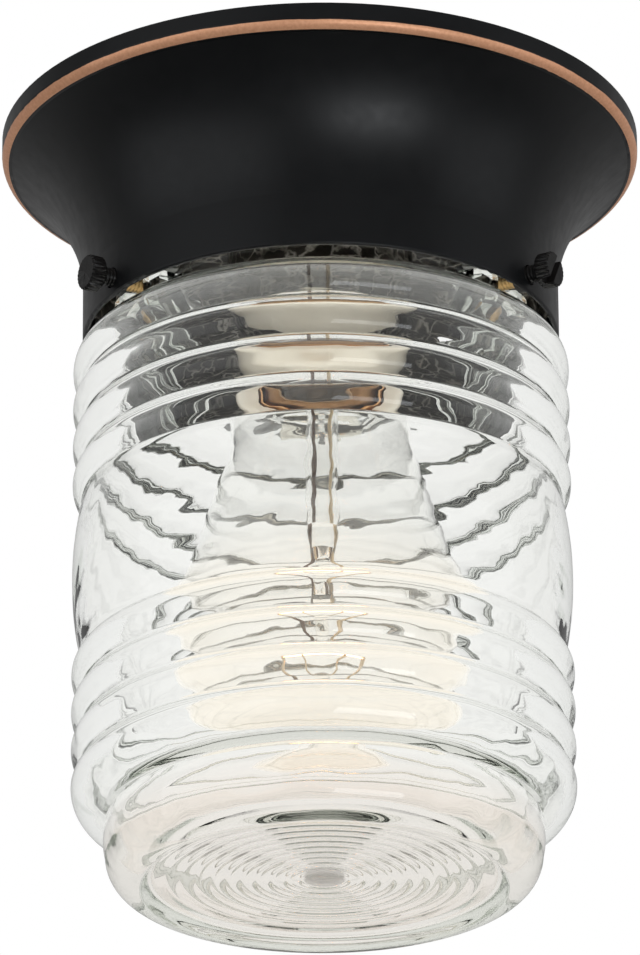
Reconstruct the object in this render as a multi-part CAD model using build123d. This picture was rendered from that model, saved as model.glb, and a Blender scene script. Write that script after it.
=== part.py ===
from build123d import *
import os
from math import acos, asin, atan2, cos, degrees, radians, sin, tan

# A jelly jar ceiling light: a spun canopy with a fitter collar, a ribbed glass jar held by three
# thumbscrews, a porcelain lampholder on a pressed plate, and a clear lamp.
# Millimetres. The origin is the middle of the ceiling face, +Z points up into the ceiling and the
# light hangs down, so heights are written as depths below the ceiling.

# Canopy
CANOPY_D = 140.0
CANOPY_SHEET = 1.2
RIM_WALL = 3.5
RIM_ROUND = 2.2
COLLAR_D = 104.0
COLLAR_DEPTH = 48.0
COLLAR_STRAIGHT = 12.0

# Thumbscrews
THUMB_NAMES = ["front_right", "back", "front_left"]
THUMB_FIRST_ANGLE = -30.0
THUMB_ABOVE_EDGE = 4.2
THUMB_SHANK_D = 4.16
THUMB_SHANK_PROUD = 3.0
THUMB_HEAD_D = 7.8
THUMB_HEAD_L = 3.4
THUMB_SLOT_W = 1.7
THUMB_SLOT_DEPTH = 2.0
THUMB_SLOT_ANGLES = [61.0, 20.0, -37.0]
THUMB_KNURLS = 24
THUMB_KNURL_D = 0.6
THUMB_HOLE_CLEAR = 0.2
THUMB_LIP_WALL = 1.2
THUMB_LIP_L = 1.6
THUMB_TIP_CHAMFER = 0.5

# Glass jar
JAR_D = 107.9
JAR_WALL = 3.5
JAR_REVEAL = 1.8
NECK_D = 82.6
NECK_FILLET = 2.0
BEAD_PROUD = 0.7
BEAD_H = 3.0
BEAD_ABOVE_SCREW = 0.3
TIP_CLEAR = 0.3
LUG_D = 93.6
LUG_H = 5.4
LUG_W = 8.0
LUG_ROUND = 1.2
LUG_CLEAR = 0.35
UPPER_RIBS = 4
UPPER_PITCH = 8.86
LOWER_RIBS = 4
LOWER_PITCH = 8.56
RIB_SAG = 2.0
VALLEY_ROUND = 1.5
INNER_RIB_SAG = 0.8
INNER_VALLEY_ROUND = 6.0
BARREL_H = 35.6
BARREL_SAG = 2.0
INNER_BARREL_SAG = 1.7
SHOULDER_ROUND = 7.4
CUP_SWELL = 0.5
CUP_SIDE_H = 6.8
HEEL_H = 8.0
FOOT_ROUND = 2.0
RING_PITCH = 3.2
RING_SAG = 0.15
BUTTON_D = 9.1
BUTTON_SAG = 0.5
BOTTOM_WALL = 3.4
CUP_INNER_ROUND = 3.0
CUP_STEP_ROUND = 2.0

# Socket plate and mounting strap
PLATE_DEPTH = 26.0
PLATE_SHEET = 1.2
PLATE_BEND = 2.4
PLATE_WELD_GAP = 0.1
SKIRT_LAP = 2.0
STRAP_L = 104.0
STRAP_W = 20.0
STRAP_SHEET = 1.6
STRAP_CORNER = 4.0
STRAP_BOX_SPACING = 88.9
STRAP_SLOT_L = 8.0
STRAP_SLOT_W = 4.6
STRAP_CENTRE_HOLE_D = 10.3
STRAP_TAP_LIP = 1.4
STRAP_TAP_WALL = 1.0
MOUNT_SPACING = 69.85
MOUNT_SHANK_D = 4.16
MOUNT_HEAD_D = 7.6
MOUNT_HEAD_H = 2.6
SCREW_TIP_BACK = 0.4
KEYHOLE_SLOT_CLEAR = 0.25
KEYHOLE_HEAD_CLEAR = 0.5
KEYHOLE_RUN = 8.0
SCREW_FIT = 0.1
GROUND_X = 18.0
GROUND_SHANK_D = 4.8
GROUND_HEAD_D = 8.6
GROUND_HEAD_H = 3.0
DRIVE_SLOT_W = 1.0
DRIVE_SLOT_DEPTH = 1.0
HEAD_ROUND = 0.6

# Porcelain lampholder
SOCKET_D = 39.0
SOCKET_L = 25.8
SOCKET_MOUTH_ROUND = 2.4
SOCKET_TOP_ROUND = 1.2
SLEEVE_DROP = 12.8
SLEEVE_SHEET = 0.7
SLEEVE_GAP = 0.1
SOCKET_BORE_DEPTH = 22.5
SOCKET_BORE_CLEAR = 0.2
BOSS_D = 24.0
BOSS_H = 7.2
BOSS_ROUND = 0.4
BOSS_CLEAR = 0.5
SHELL_WALL = 0.4
SHELL_LIP = 1.0
SHELL_FLOOR_HOLE_D = 15.0
SOCKET_SCREW_D = 3.4
SOCKET_SCREW_L = 5.8
SOCKET_SCREW_HEAD_D = 6.0
SOCKET_SCREW_HEAD_H = 2.0
SCREW_HOLE_SPARE = 0.4
CONTACT_W = 6.0
CONTACT_SHEET = 0.5
CONTACT_NOSE = 1.4
CONTACT_REACH = 3.0
CONTACT_FLAT = 2.5
RIVET_D = 2.4
RIVET_HEAD_D = 3.6
RIVET_HEAD_H = 0.6
HOT_X = -4.5
HOT_RIVET_Y = 0.0
HOT_SCREW_Y = -7.2
NEUTRAL_X = 5.2
NEUTRAL_RIVET_Y = 7.6
NEUTRAL_SCREW_Y = 0.0
CLIP_W = 4.8
CLIP_SHEET = 0.8
TERMINAL_D = 3.4
TERMINAL_L = 5.0
TERMINAL_HEAD_D = 6.2
TERMINAL_HEAD_H = 2.0

# Lamp
CAP_D = 26.3
CAP_PITCH = 3.63
CAP_TURNS = 5
CAP_THREAD = 0.4
CAP_WALL = 0.4
CAP_SKIRT_H = 3.7
CAP_SKIRT_FLARE = 0.5
CAP_SEAT_GAP = 0.3
CAP_CLEAR = 0.35
LAMP_CONTACT_D = 10.0
LAMP_CONTACT_H = 1.2
INSULATOR_H = 3.0
LAMP_FIT = 0.1
BULB_D = 66.0
BULB_NECK_D = 38.4
BULB_NECK_RUN = 8.0
BULB_NECK_STRAIGHT = 3.0
BULB_NECK_ROUND = 26.0
BULB_TAPER = 20.0
BULB_WALL = 0.8
BULB_TUCK = 3.2
STEM_D = 7.2
STEM_WALL = 0.9
STEM_FLARE_H = 13.0
STEM_L = 42.0
STEM_PINCH_H = 6.0
STEM_PINCH_D = 5.8
STEM_ROD_D = 3.2
STEM_ROD_L = 14.0
STEM_BUTTON_H = 1.4
LEAD_D = 0.7
LEAD_RUN = 21.0
LEAD_CLEAR = 0.35
LEAD_TOP = 1.0
WIRE_GAP = 0.15
FILAMENT_D = 1.0
FILAMENT_SPAN = 18.0
FILAMENT_SAG = 2.6
SUPPORT_D = 0.5
SUPPORT_SPAN = 8.0

# Places worked out from the sizes above
canopy_r = CANOPY_D / 2
collar_r = COLLAR_D / 2
bore_r = collar_r - CANOPY_SHEET
cove_end = COLLAR_DEPTH - COLLAR_STRAIGHT
thumb_depth = COLLAR_DEPTH - THUMB_ABOVE_EDGE
thumb_r = THUMB_SHANK_D / 2
thumb_angles = [THUMB_FIRST_ANGLE + k * 360 / len(THUMB_NAMES) for k in range(len(THUMB_NAMES))]
neck_r = NECK_D / 2
bead_r = neck_r + BEAD_PROUD
tip_r = bead_r + TIP_CLEAR
thumb_shank_l = collar_r + THUMB_SHANK_PROUD - tip_r
jar_r = JAR_D / 2
jar_inner_r = jar_r - JAR_WALL
neck_top = thumb_depth - thumb_r - BEAD_ABOVE_SCREW - BEAD_H
shoulder_depth = COLLAR_DEPTH + JAR_REVEAL
upper_round = ((UPPER_PITCH / 2) ** 2 + RIB_SAG ** 2) / (2 * RIB_SAG)
upper_first = shoulder_depth + upper_round
upper_end = upper_first + (UPPER_RIBS - 0.5) * UPPER_PITCH
lower_start = upper_end + BARREL_H
lower_last = lower_start + (LOWER_RIBS - 0.5) * LOWER_PITCH
crease_r = jar_r - SHOULDER_ROUND
crease_depth = lower_last + SHOULDER_ROUND
heel_depth = crease_depth + CUP_SIDE_H
foot_r = crease_r - HEEL_H
foot_depth = heel_depth + HEEL_H
panel_r = foot_r - FOOT_ROUND
panel_depth = foot_depth - FOOT_ROUND
plate_under = PLATE_DEPTH + PLATE_SHEET
skirt_r = bore_r - PLATE_WELD_GAP
skirt_end = cove_end + SKIRT_LAP
mount_x = MOUNT_SPACING / 2
boss_top = plate_under - BOSS_H
clip_top = boss_top - CLIP_SHEET
socket_mouth = plate_under + SOCKET_L
socket_floor = socket_mouth - SOCKET_BORE_DEPTH
shell_r = CAP_D / 2 + CAP_CLEAR + CAP_THREAD
socket_bore_r = shell_r + CAP_THREAD + SHELL_WALL + SOCKET_BORE_CLEAR
socket_screw_x = (socket_bore_r + SOCKET_D / 2) / 2
contact_nose = socket_floor + CONTACT_NOSE
lamp_tip = contact_nose + CAP_SEAT_GAP
insulator_top = lamp_tip + LAMP_CONTACT_H
cap_top = insulator_top + INSULATOR_H
cap_r = CAP_D / 2 - CAP_THREAD
cap_inner_r = cap_r - CAP_WALL
cap_end = cap_top + CAP_TURNS * CAP_PITCH
bulb_top = cap_end + CAP_SKIRT_H
globe_r = BULB_D / 2
bulb_neck_r = BULB_NECK_D / 2
taper = radians(BULB_TAPER)
taper_run = globe_r * cos(taper) - bulb_neck_r - BULB_NECK_ROUND * (1 - cos(taper))
bulb_neck_depth = bulb_top + BULB_NECK_RUN
bulb_neck_end = bulb_neck_depth + BULB_NECK_STRAIGHT
equator_depth = bulb_neck_end + (globe_r + BULB_NECK_ROUND) * sin(taper) + taper_run / tan(taper)
bulb_tuck_depth = bulb_top - BULB_TUCK
bulb_tuck_r = cap_inner_r - LAMP_FIT
stem_flare_r = bulb_tuck_r - BULB_WALL - LAMP_FIT
pinch_depth = bulb_tuck_depth + STEM_L
rod_end = pinch_depth + STEM_ROD_L
filament_depth = pinch_depth + LEAD_RUN


# Shared shapes
def at(r, depth):
    """A point of a half section: its distance from the axis and its depth below the ceiling."""
    return Vector(r, 0, -depth)


def line(*points):
    """Straight runs through points of a half section."""
    return Polyline(*[at(r, depth) for r, depth in points])


def bow(start, middle, end):
    """A round through three points of a half section."""
    return ThreePointArc(at(*start), at(*middle), at(*end))


def arc(centre, r, start, end):
    """A round about a centre, where 0 degrees points outwards and 90 degrees points down."""
    turns = [radians(a) for a in (start, (start + end) / 2, end)]
    return bow(*[(centre[0] + r * cos(a), centre[1] + r * sin(a)) for a in turns])


def turned(*outline):
    """A solid turned about the light's axis from the closed outline of its half section."""
    edges = [edge for run in outline for edge in run.edges()]
    return revolve(Face(Wire(edges)), axis=Axis.Z)


def drum(r, top, bottom, x=0.0, y=0.0):
    """An upright round bar between two depths."""
    upright = (Align.CENTER, Align.CENTER, Align.MIN)
    return Pos(x, y, -bottom) * Cylinder(r, bottom - top, align=upright)


def rod(start, end, r):
    """A round bar between two points of the light's frame."""
    run = Vector(end) - Vector(start)
    return Solid.make_cylinder(r, run.length, Plane(origin=start, z_dir=run))


def outward(angle, r, depth):
    """The plane at a radius of the collar whose normal points away from the axis."""
    way = (cos(radians(angle)), sin(radians(angle)), 0)
    return Plane(origin=(r * way[0], r * way[1], -depth), x_dir=(0, 0, 1), z_dir=way)


def waves(r, start, turns):
    """The rolled thread of a lamp cap: a run of half rounds out and in."""
    runs = []
    for k in range(turns):
        a = start + k * CAP_PITCH
        b = a + CAP_PITCH / 2
        c = a + CAP_PITCH
        runs.append(bow((r, a), (r + CAP_THREAD, (a + b) / 2), (r, b)))
        runs.append(bow((r, b), (r - CAP_THREAD, (b + c) / 2), (r, c)))
    return runs


def headed_screw(shank_r, head_r, head_h, head_from, tip, x, y):
    """A slotted screw. Its head lies beyond head_from, on the side away from its tip."""
    side = 1 if head_from > tip else -1
    head_end = head_from + side * head_h
    head = drum(head_r, min(head_from, head_end), max(head_from, head_end), x, y)
    rim = head.edges().sort_by(Axis.Z)[0 if side > 0 else -1]
    head = fillet(rim, HEAD_ROUND)
    slot = Pos(x, y, -head_end) * Box(3 * head_r, DRIVE_SLOT_W, 2 * DRIVE_SLOT_DEPTH)
    return head - slot + drum(shank_r, min(head_from, tip), max(head_from, tip), x, y)


# Canopy
def make_canopy():
    rim_r = canopy_r - RIM_ROUND
    rim_depth = RIM_WALL + RIM_ROUND
    run = rim_r - collar_r
    rise = cove_end - rim_depth
    cove_round = (run ** 2 + rise ** 2) / (2 * run)
    centre = (collar_r + cove_round, cove_end)
    outer_turn = degrees(atan2(rise, cove_round - run))
    inner_round = cove_round + CANOPY_SHEET
    inner_rim_r = canopy_r - CANOPY_SHEET
    inner_turn = degrees(acos((centre[0] - inner_rim_r) / inner_round))
    inner_rim_depth = cove_end - inner_round * sin(radians(inner_turn))
    hem = COLLAR_DEPTH - CANOPY_SHEET / 2
    body = turned(
        line((inner_rim_r, inner_rim_depth), (inner_rim_r, 0), (canopy_r, 0), (canopy_r, RIM_WALL)),
        arc((rim_r, RIM_WALL), RIM_ROUND, 0, 90),
        arc(centre, cove_round, 180 + outer_turn, 180),
        line((collar_r, cove_end), (collar_r, hem)),
        bow((collar_r, hem), ((collar_r + bore_r) / 2, COLLAR_DEPTH), (bore_r, hem)),
        line((bore_r, hem), (bore_r, cove_end)),
        arc(centre, inner_round, 180, 180 + inner_turn),
    )
    hole_r = thumb_r + THUMB_HOLE_CLEAR
    lip_l = THUMB_LIP_L + CANOPY_SHEET / 2
    for angle in thumb_angles:
        inside = outward(angle, bore_r - THUMB_LIP_L, thumb_depth)
        body += extrude(inside * Circle(hole_r + THUMB_LIP_WALL), lip_l)
        body -= extrude(inside * Circle(hole_r), 2 * (THUMB_LIP_L + CANOPY_SHEET))
    return body


def make_thumbscrew(angle, slot_angle):
    shank = Solid.make_cylinder(thumb_r, thumb_shank_l)
    shank = chamfer(shank.edges().sort_by(Axis.Z)[0], THUMB_TIP_CHAMFER)
    head_r = THUMB_HEAD_D / 2
    section = Circle(head_r) - PolarLocations(head_r, THUMB_KNURLS) * Circle(THUMB_KNURL_D / 2)
    head = extrude(section, THUMB_HEAD_L)
    slot = Box(THUMB_SLOT_W, 2 * THUMB_HEAD_D, 2 * THUMB_SLOT_DEPTH)
    head -= Pos(0, 0, THUMB_HEAD_L) * Rot(0, 0, slot_angle) * slot
    return outward(angle, tip_r, thumb_depth) * (shank + Pos(0, 0, thumb_shank_l) * head)


# Glass jar
def half_rib(crest, pitch, crest_r, sag, valley_round, side):
    """Half of a rib, from its crest down (side 1) or up (side -1) to the middle of a filleted valley."""
    reach = ((pitch / 2) ** 2 + sag ** 2) / (2 * sag)
    turn = side * degrees(asin(pitch / 2 / reach))
    r = reach - valley_round
    valley = (crest_r - sag + valley_round, crest + side * pitch / 2)
    return [arc((crest_r - r, crest), r, 0, turn), arc(valley, valley_round, 180 + turn, 180)]


def outer_half(crest, pitch, side):
    return half_rib(crest, pitch, jar_r, RIB_SAG, VALLEY_ROUND, side)


def inner_half(crest, pitch, side):
    return half_rib(crest, pitch, jar_inner_r, INNER_RIB_SAG, INNER_VALLEY_ROUND, side)


def rib_runs(half, first, count, pitch):
    """A run of whole ribs from valley to valley, on the outside or the inside of the jar."""
    return [edge for k in range(count) for side in (-1, 1) for edge in half(first + k * pitch, pitch, side)]


def jar_outside():
    valley_r = jar_r - RIB_SAG
    middle = (upper_end + lower_start) / 2
    fillet_centre = (neck_r + NECK_FILLET, shoulder_depth - NECK_FILLET)
    side = bow(
        (crease_r, crease_depth),
        (crease_r + CUP_SWELL, (crease_depth + heel_depth) / 2),
        (crease_r, heel_depth),
    )
    return [
        bow((neck_r, neck_top), (bead_r, neck_top + BEAD_H / 2), (neck_r, neck_top + BEAD_H)),
        line((neck_r, neck_top + BEAD_H), (neck_r, fillet_centre[1])),
        arc(fillet_centre, NECK_FILLET, 180, 90),
        line((fillet_centre[0], shoulder_depth), (jar_r - upper_round, shoulder_depth)),
        arc((jar_r - upper_round, upper_first), upper_round, -90, 0),
        *outer_half(upper_first, UPPER_PITCH, 1),
        *rib_runs(outer_half, upper_first + UPPER_PITCH, UPPER_RIBS - 1, UPPER_PITCH),
        bow((valley_r, upper_end), (valley_r + BARREL_SAG, middle), (valley_r, lower_start)),
        *rib_runs(outer_half, lower_start + LOWER_PITCH / 2, LOWER_RIBS - 1, LOWER_PITCH),
        *outer_half(lower_last, LOWER_PITCH, -1),
        arc((crease_r, lower_last), SHOULDER_ROUND, 0, 90),
        side,
        TangentArc(at(crease_r, heel_depth), at(foot_r, foot_depth), tangent=side % 1),
    ]


def jar_underside():
    """The foot ring, the moulded rings of the bottom panel and the button at its middle."""
    button_r = BUTTON_D / 2
    rings = round((panel_r - button_r) / RING_PITCH)
    step = (panel_r - button_r) / rings
    runs = [arc((foot_r, panel_depth), FOOT_ROUND, 90, 180)]
    for k in range(rings):
        r = panel_r - k * step
        middle = (r - step / 2, panel_depth + RING_SAG)
        runs.append(bow((r, panel_depth), middle, (r - step, panel_depth)))
    lens = (button_r ** 2 + BUTTON_SAG ** 2) / (2 * BUTTON_SAG)
    turn = degrees(asin(button_r / lens))
    runs.append(arc((0, panel_depth + BUTTON_SAG - lens), lens, 90 - turn, 90))
    return runs


def jar_inside():
    valley_r = jar_inner_r - INNER_RIB_SAG
    middle = (upper_end + lower_start) / 2
    inner_bottom = panel_depth - BOTTOM_WALL
    cup_r = crease_r - JAR_WALL
    step_depth = crease_depth - JAR_WALL
    step_centre = (cup_r + CUP_STEP_ROUND, step_depth + CUP_STEP_ROUND)
    floor_centre = (cup_r - CUP_INNER_ROUND, inner_bottom - CUP_INNER_ROUND)
    fillet_centre = (neck_r + NECK_FILLET, shoulder_depth - NECK_FILLET)
    under_shoulder = shoulder_depth + JAR_WALL
    neck_inner_r = neck_r - JAR_WALL
    return [
        line((0, panel_depth + BUTTON_SAG), (0, inner_bottom), (floor_centre[0], inner_bottom)),
        arc(floor_centre, CUP_INNER_ROUND, 90, 0),
        line((cup_r, floor_centre[1]), (cup_r, step_centre[1])),
        arc(step_centre, CUP_STEP_ROUND, 180, 270),
        line((step_centre[0], step_depth), (crease_r, step_depth)),
        arc((crease_r, lower_last), SHOULDER_ROUND - JAR_WALL, 90, 0),
        *inner_half(lower_last, LOWER_PITCH, -1),
        *rib_runs(inner_half, lower_start + LOWER_PITCH / 2, LOWER_RIBS - 1, LOWER_PITCH),
        bow((valley_r, upper_end), (valley_r + INNER_BARREL_SAG, middle), (valley_r, lower_start)),
        *rib_runs(inner_half, upper_first + UPPER_PITCH, UPPER_RIBS - 1, UPPER_PITCH),
        *inner_half(upper_first, UPPER_PITCH, 1),
        arc((jar_r - upper_round, upper_first), upper_round - JAR_WALL, 0, -90),
        line((jar_r - upper_round, under_shoulder), (fillet_centre[0], under_shoulder)),
        arc(fillet_centre, NECK_FILLET + JAR_WALL, 90, 180),
        line((neck_inner_r, fillet_centre[1]), (neck_inner_r, neck_top), (neck_r, neck_top)),
    ]


def make_lugs():
    """Pairs of lugs on the neck that stop the jar from turning past the thumbscrews."""
    inner_r = neck_r - JAR_WALL / 2
    lug_r = LUG_D / 2
    lug_top = shoulder_depth - LUG_H
    root = shoulder_depth + JAR_WALL / 2
    round_centre = (lug_r - LUG_ROUND, lug_top + LUG_ROUND)
    ring = turned(
        line((round_centre[0], lug_top), (inner_r, lug_top), (inner_r, root), (lug_r, root),
             (lug_r, round_centre[1])),
        arc(round_centre, LUG_ROUND, 0, -90),
    )
    reach = thumb_r + LUG_CLEAR + LUG_W / 2
    lugs = []
    for angle in thumb_angles:
        for side in (-1, 1):
            cutter = Pos(lug_r - LUG_H, side * reach, -lug_top) * Box(4 * LUG_H, LUG_W, 4 * LUG_H)
            lugs.append(ring & (Rot(0, 0, angle) * cutter))
    return lugs


def make_jar():
    jar = turned(*jar_outside(), *jar_underside(), *jar_inside())
    for lug in make_lugs():
        jar += lug
    return jar


# Socket plate and mounting strap
def make_socket_plate():
    bend_centre = (skirt_r - PLATE_BEND, PLATE_DEPTH + PLATE_BEND)
    skirt_inner_r = skirt_r - PLATE_SHEET
    hole_r = BOSS_D / 2 + BOSS_CLEAR
    plate = turned(
        line((bend_centre[0], plate_under), (hole_r, plate_under), (hole_r, PLATE_DEPTH),
             (bend_centre[0], PLATE_DEPTH)),
        arc(bend_centre, PLATE_BEND, -90, 0),
        line((skirt_r, bend_centre[1]), (skirt_r, skirt_end), (skirt_inner_r, skirt_end),
             (skirt_inner_r, bend_centre[1])),
        arc(bend_centre, PLATE_BEND - PLATE_SHEET, 0, -90),
    )
    above = PLATE_DEPTH - PLATE_SHEET
    below = plate_under + PLATE_SHEET
    slot_r = MOUNT_SHANK_D / 2 + KEYHOLE_SLOT_CLEAR
    entry_r = MOUNT_HEAD_D / 2 + KEYHOLE_HEAD_CLEAR
    for side in (-1, 1):
        x = side * mount_x
        run = side * KEYHOLE_RUN
        plate -= drum(entry_r, above, below, x, run)
        plate -= drum(slot_r, above, below, x)
        plate -= Pos(x, run / 2, -plate_under) * Box(2 * slot_r, KEYHOLE_RUN, 4 * PLATE_SHEET)
        plate -= drum(SOCKET_SCREW_D / 2 + SCREW_FIT, above, below, side * socket_screw_x)
    return plate


def make_mounting_strap():
    tap_r = MOUNT_SHANK_D / 2 + SCREW_FIT
    ends = [Pos(side * STRAP_BOX_SPACING / 2, 0) for side in (-1, 1)]
    outline = RectangleRounded(STRAP_L, STRAP_W, STRAP_CORNER)
    outline -= Circle(STRAP_CENTRE_HOLE_D / 2)
    outline -= Pos(GROUND_X, 0) * Circle(GROUND_SHANK_D / 2 + SCREW_FIT)
    for end in ends:
        outline -= end * SlotOverall(STRAP_SLOT_L, STRAP_SLOT_W)
    strap = extrude(outline, -STRAP_SHEET)
    for x in (-mount_x, mount_x):
        strap += drum(tap_r + STRAP_TAP_WALL, STRAP_SHEET / 2, STRAP_SHEET + STRAP_TAP_LIP, x)
        strap -= drum(tap_r, -STRAP_SHEET, STRAP_SHEET + 2 * STRAP_TAP_LIP, x)
    return strap


def make_mounting_screws():
    return [
        headed_screw(MOUNT_SHANK_D / 2, MOUNT_HEAD_D / 2, MOUNT_HEAD_H, plate_under, SCREW_TIP_BACK, x, 0)
        for x in (-mount_x, mount_x)
    ]


def make_ground_screw():
    return headed_screw(
        GROUND_SHANK_D / 2, GROUND_HEAD_D / 2, GROUND_HEAD_H, STRAP_SHEET, SCREW_TIP_BACK, GROUND_X, 0
    )


# Porcelain lampholder
def make_socket_body():
    boss_r = BOSS_D / 2
    body_r = SOCKET_D / 2
    top_centre = (body_r - SOCKET_TOP_ROUND, plate_under + SOCKET_TOP_ROUND)
    mouth_centre = (body_r - SOCKET_MOUTH_ROUND, socket_mouth - SOCKET_MOUTH_ROUND)
    body = turned(
        line((0, socket_floor), (0, boss_top), (boss_r - BOSS_ROUND, boss_top)),
        arc((boss_r - BOSS_ROUND, boss_top + BOSS_ROUND), BOSS_ROUND, -90, 0),
        line((boss_r, boss_top + BOSS_ROUND), (boss_r, plate_under), (top_centre[0], plate_under)),
        arc(top_centre, SOCKET_TOP_ROUND, -90, 0),
        line((body_r, top_centre[1]), (body_r, mouth_centre[1])),
        arc(mouth_centre, SOCKET_MOUTH_ROUND, 0, 90),
        line((mouth_centre[0], socket_mouth), (socket_bore_r, socket_mouth),
             (socket_bore_r, socket_floor), (0, socket_floor)),
    )
    for side in (-1, 1):
        end = PLATE_DEPTH + SOCKET_SCREW_L + SCREW_HOLE_SPARE
        body -= drum(SOCKET_SCREW_D / 2 + SCREW_FIT, PLATE_DEPTH, end, side * socket_screw_x)
    for x, y in ((HOT_X, HOT_RIVET_Y), (NEUTRAL_X, NEUTRAL_RIVET_Y)):
        body -= drum(RIVET_D / 2 + SCREW_FIT, boss_top - BOSS_ROUND, socket_floor + BOSS_ROUND, x, y)
    for x, y in ((HOT_X, HOT_SCREW_Y), (NEUTRAL_X, NEUTRAL_SCREW_Y)):
        end = clip_top + TERMINAL_L + SCREW_HOLE_SPARE
        body -= drum(TERMINAL_D / 2 + SCREW_FIT, clip_top, end, x, y)
    return body


def make_socket_sleeve():
    """A thin sleeve pushed over the upper part of the porcelain, up to the plate."""
    inner_r = SOCKET_D / 2 + SLEEVE_GAP
    outer_r = inner_r + SLEEVE_SHEET
    top = plate_under + SLEEVE_GAP
    bottom = plate_under + SLEEVE_DROP
    return turned(line((inner_r, top), (outer_r, top), (outer_r, bottom), (inner_r, bottom), (inner_r, top)))


def make_socket_shell():
    outer_r = shell_r + SHELL_WALL
    hole_r = SHELL_FLOOR_HOLE_D / 2
    lip = socket_mouth + SHELL_LIP
    floor_under = socket_floor + SHELL_WALL
    shell = turned(
        line((shell_r, lip), (shell_r, floor_under), (hole_r, floor_under), (hole_r, socket_floor),
             (outer_r, socket_floor), (outer_r, lip), (shell_r, lip)),
    )
    return shell - drum(RIVET_D / 2 + SCREW_FIT, boss_top, lip, NEUTRAL_X, NEUTRAL_RIVET_Y)


def make_socket_contact():
    """A spring tab: riveted flat to the floor, then sprung down to a nose on the axis."""
    back = HOT_X - RIVET_HEAD_D / 2
    bend = HOT_X + RIVET_HEAD_D / 2
    nose_top = contact_nose - CONTACT_SHEET
    section = Polyline(
        at(back, socket_floor),
        at(bend, socket_floor),
        at(CONTACT_REACH - CONTACT_FLAT, nose_top),
        at(CONTACT_REACH, nose_top),
        at(CONTACT_REACH, contact_nose),
        at(CONTACT_REACH - CONTACT_FLAT, contact_nose),
        at(bend, socket_floor + CONTACT_SHEET),
        at(back, socket_floor + CONTACT_SHEET),
        close=True,
    )
    tab = extrude(Face(Wire(section.edges())), CONTACT_W / 2, dir=(0, 1, 0), both=True)
    return tab - drum(RIVET_D / 2 + SCREW_FIT, boss_top, socket_mouth, HOT_X, HOT_RIVET_Y)


def make_rivet(x, y, under):
    """A rivet through the porcelain, from a terminal clip to the sheet whose underside is given."""
    head_r = RIVET_HEAD_D / 2
    return (
        drum(RIVET_D / 2, clip_top, under, x, y)
        + drum(head_r, clip_top - RIVET_HEAD_H, clip_top, x, y)
        + drum(head_r, under, under + RIVET_HEAD_H, x, y)
    )


def make_terminal_clip(x, rivet_y, screw_y):
    run = abs(rivet_y - screw_y)
    place = Pos(x, (rivet_y + screw_y) / 2, -boss_top)
    clip = extrude(place * Rot(0, 0, 90) * SlotCenterToCenter(run, CLIP_W), CLIP_SHEET)
    clip -= drum(RIVET_D / 2 + SCREW_FIT, clip_top - CLIP_SHEET, boss_top + CLIP_SHEET, x, rivet_y)
    clip -= drum(TERMINAL_D / 2 + SCREW_FIT, clip_top - CLIP_SHEET, boss_top + CLIP_SHEET, x, screw_y)
    return clip


def make_terminal_screw(x, y):
    tip = clip_top + TERMINAL_L
    return headed_screw(TERMINAL_D / 2, TERMINAL_HEAD_D / 2, TERMINAL_HEAD_H, clip_top, tip, x, y)


def make_socket_screws():
    tip = PLATE_DEPTH + SOCKET_SCREW_L
    head_r = SOCKET_SCREW_HEAD_D / 2
    return [
        headed_screw(SOCKET_SCREW_D / 2, head_r, SOCKET_SCREW_HEAD_H, PLATE_DEPTH, tip, x, 0)
        for x in (-socket_screw_x, socket_screw_x)
    ]


# Lamp
def make_lamp_contact():
    r = LAMP_CONTACT_D / 2
    lens = (r ** 2 + LAMP_CONTACT_H ** 2) / (2 * LAMP_CONTACT_H)
    turn = degrees(asin(r / lens))
    return turned(
        arc((0, lamp_tip + lens), lens, -90, -90 + turn),
        line((r, insulator_top), (0, insulator_top), (0, lamp_tip)),
    )


def make_lamp_insulator():
    foot = cap_inner_r - LAMP_FIT
    return turned(
        line((0, cap_top), (0, insulator_top), (LAMP_CONTACT_D / 2, insulator_top), (foot, cap_top),
             (0, cap_top)),
    )


def make_lamp_cap():
    skirt_lamp_r = cap_r + CAP_SKIRT_FLARE
    return turned(
        *waves(cap_r, cap_top, CAP_TURNS),
        line((cap_r, cap_end), (skirt_lamp_r, bulb_top), (skirt_lamp_r - CAP_WALL, bulb_top),
             (cap_inner_r, cap_end)),
        *waves(cap_inner_r, cap_top, CAP_TURNS),
        line((cap_r, cap_top), (cap_inner_r, cap_top)),
    )


def bulb_curve(inset):
    """The pear outline of the bulb, drawn in from the outside by the given glass thickness."""
    flare = bulb_neck_r - bulb_tuck_r
    swing = 2 * degrees(atan2(flare, BULB_NECK_RUN))
    swing_r = (flare ** 2 + BULB_NECK_RUN ** 2) / (4 * flare)
    taper_top = (
        bulb_neck_r - inset + (BULB_NECK_ROUND + inset) * (1 - cos(taper)),
        bulb_neck_end + (BULB_NECK_ROUND + inset) * sin(taper),
    )
    taper_end = ((globe_r - inset) * cos(taper), equator_depth - (globe_r - inset) * sin(taper))
    return [
        line((bulb_tuck_r - inset, bulb_tuck_depth), (bulb_tuck_r - inset, bulb_top)),
        arc((bulb_tuck_r + swing_r, bulb_top), swing_r + inset, 180, 180 - swing),
        arc((bulb_neck_r - swing_r, bulb_neck_depth), swing_r - inset, -swing, 0),
        line((bulb_neck_r - inset, bulb_neck_depth), (bulb_neck_r - inset, bulb_neck_end)),
        arc((bulb_neck_r + BULB_NECK_ROUND, bulb_neck_end), BULB_NECK_ROUND + inset, 180, 180 - BULB_TAPER),
        line(taper_top, taper_end),
        arc((0, equator_depth), globe_r - inset, -BULB_TAPER, 90),
    ]


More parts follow.
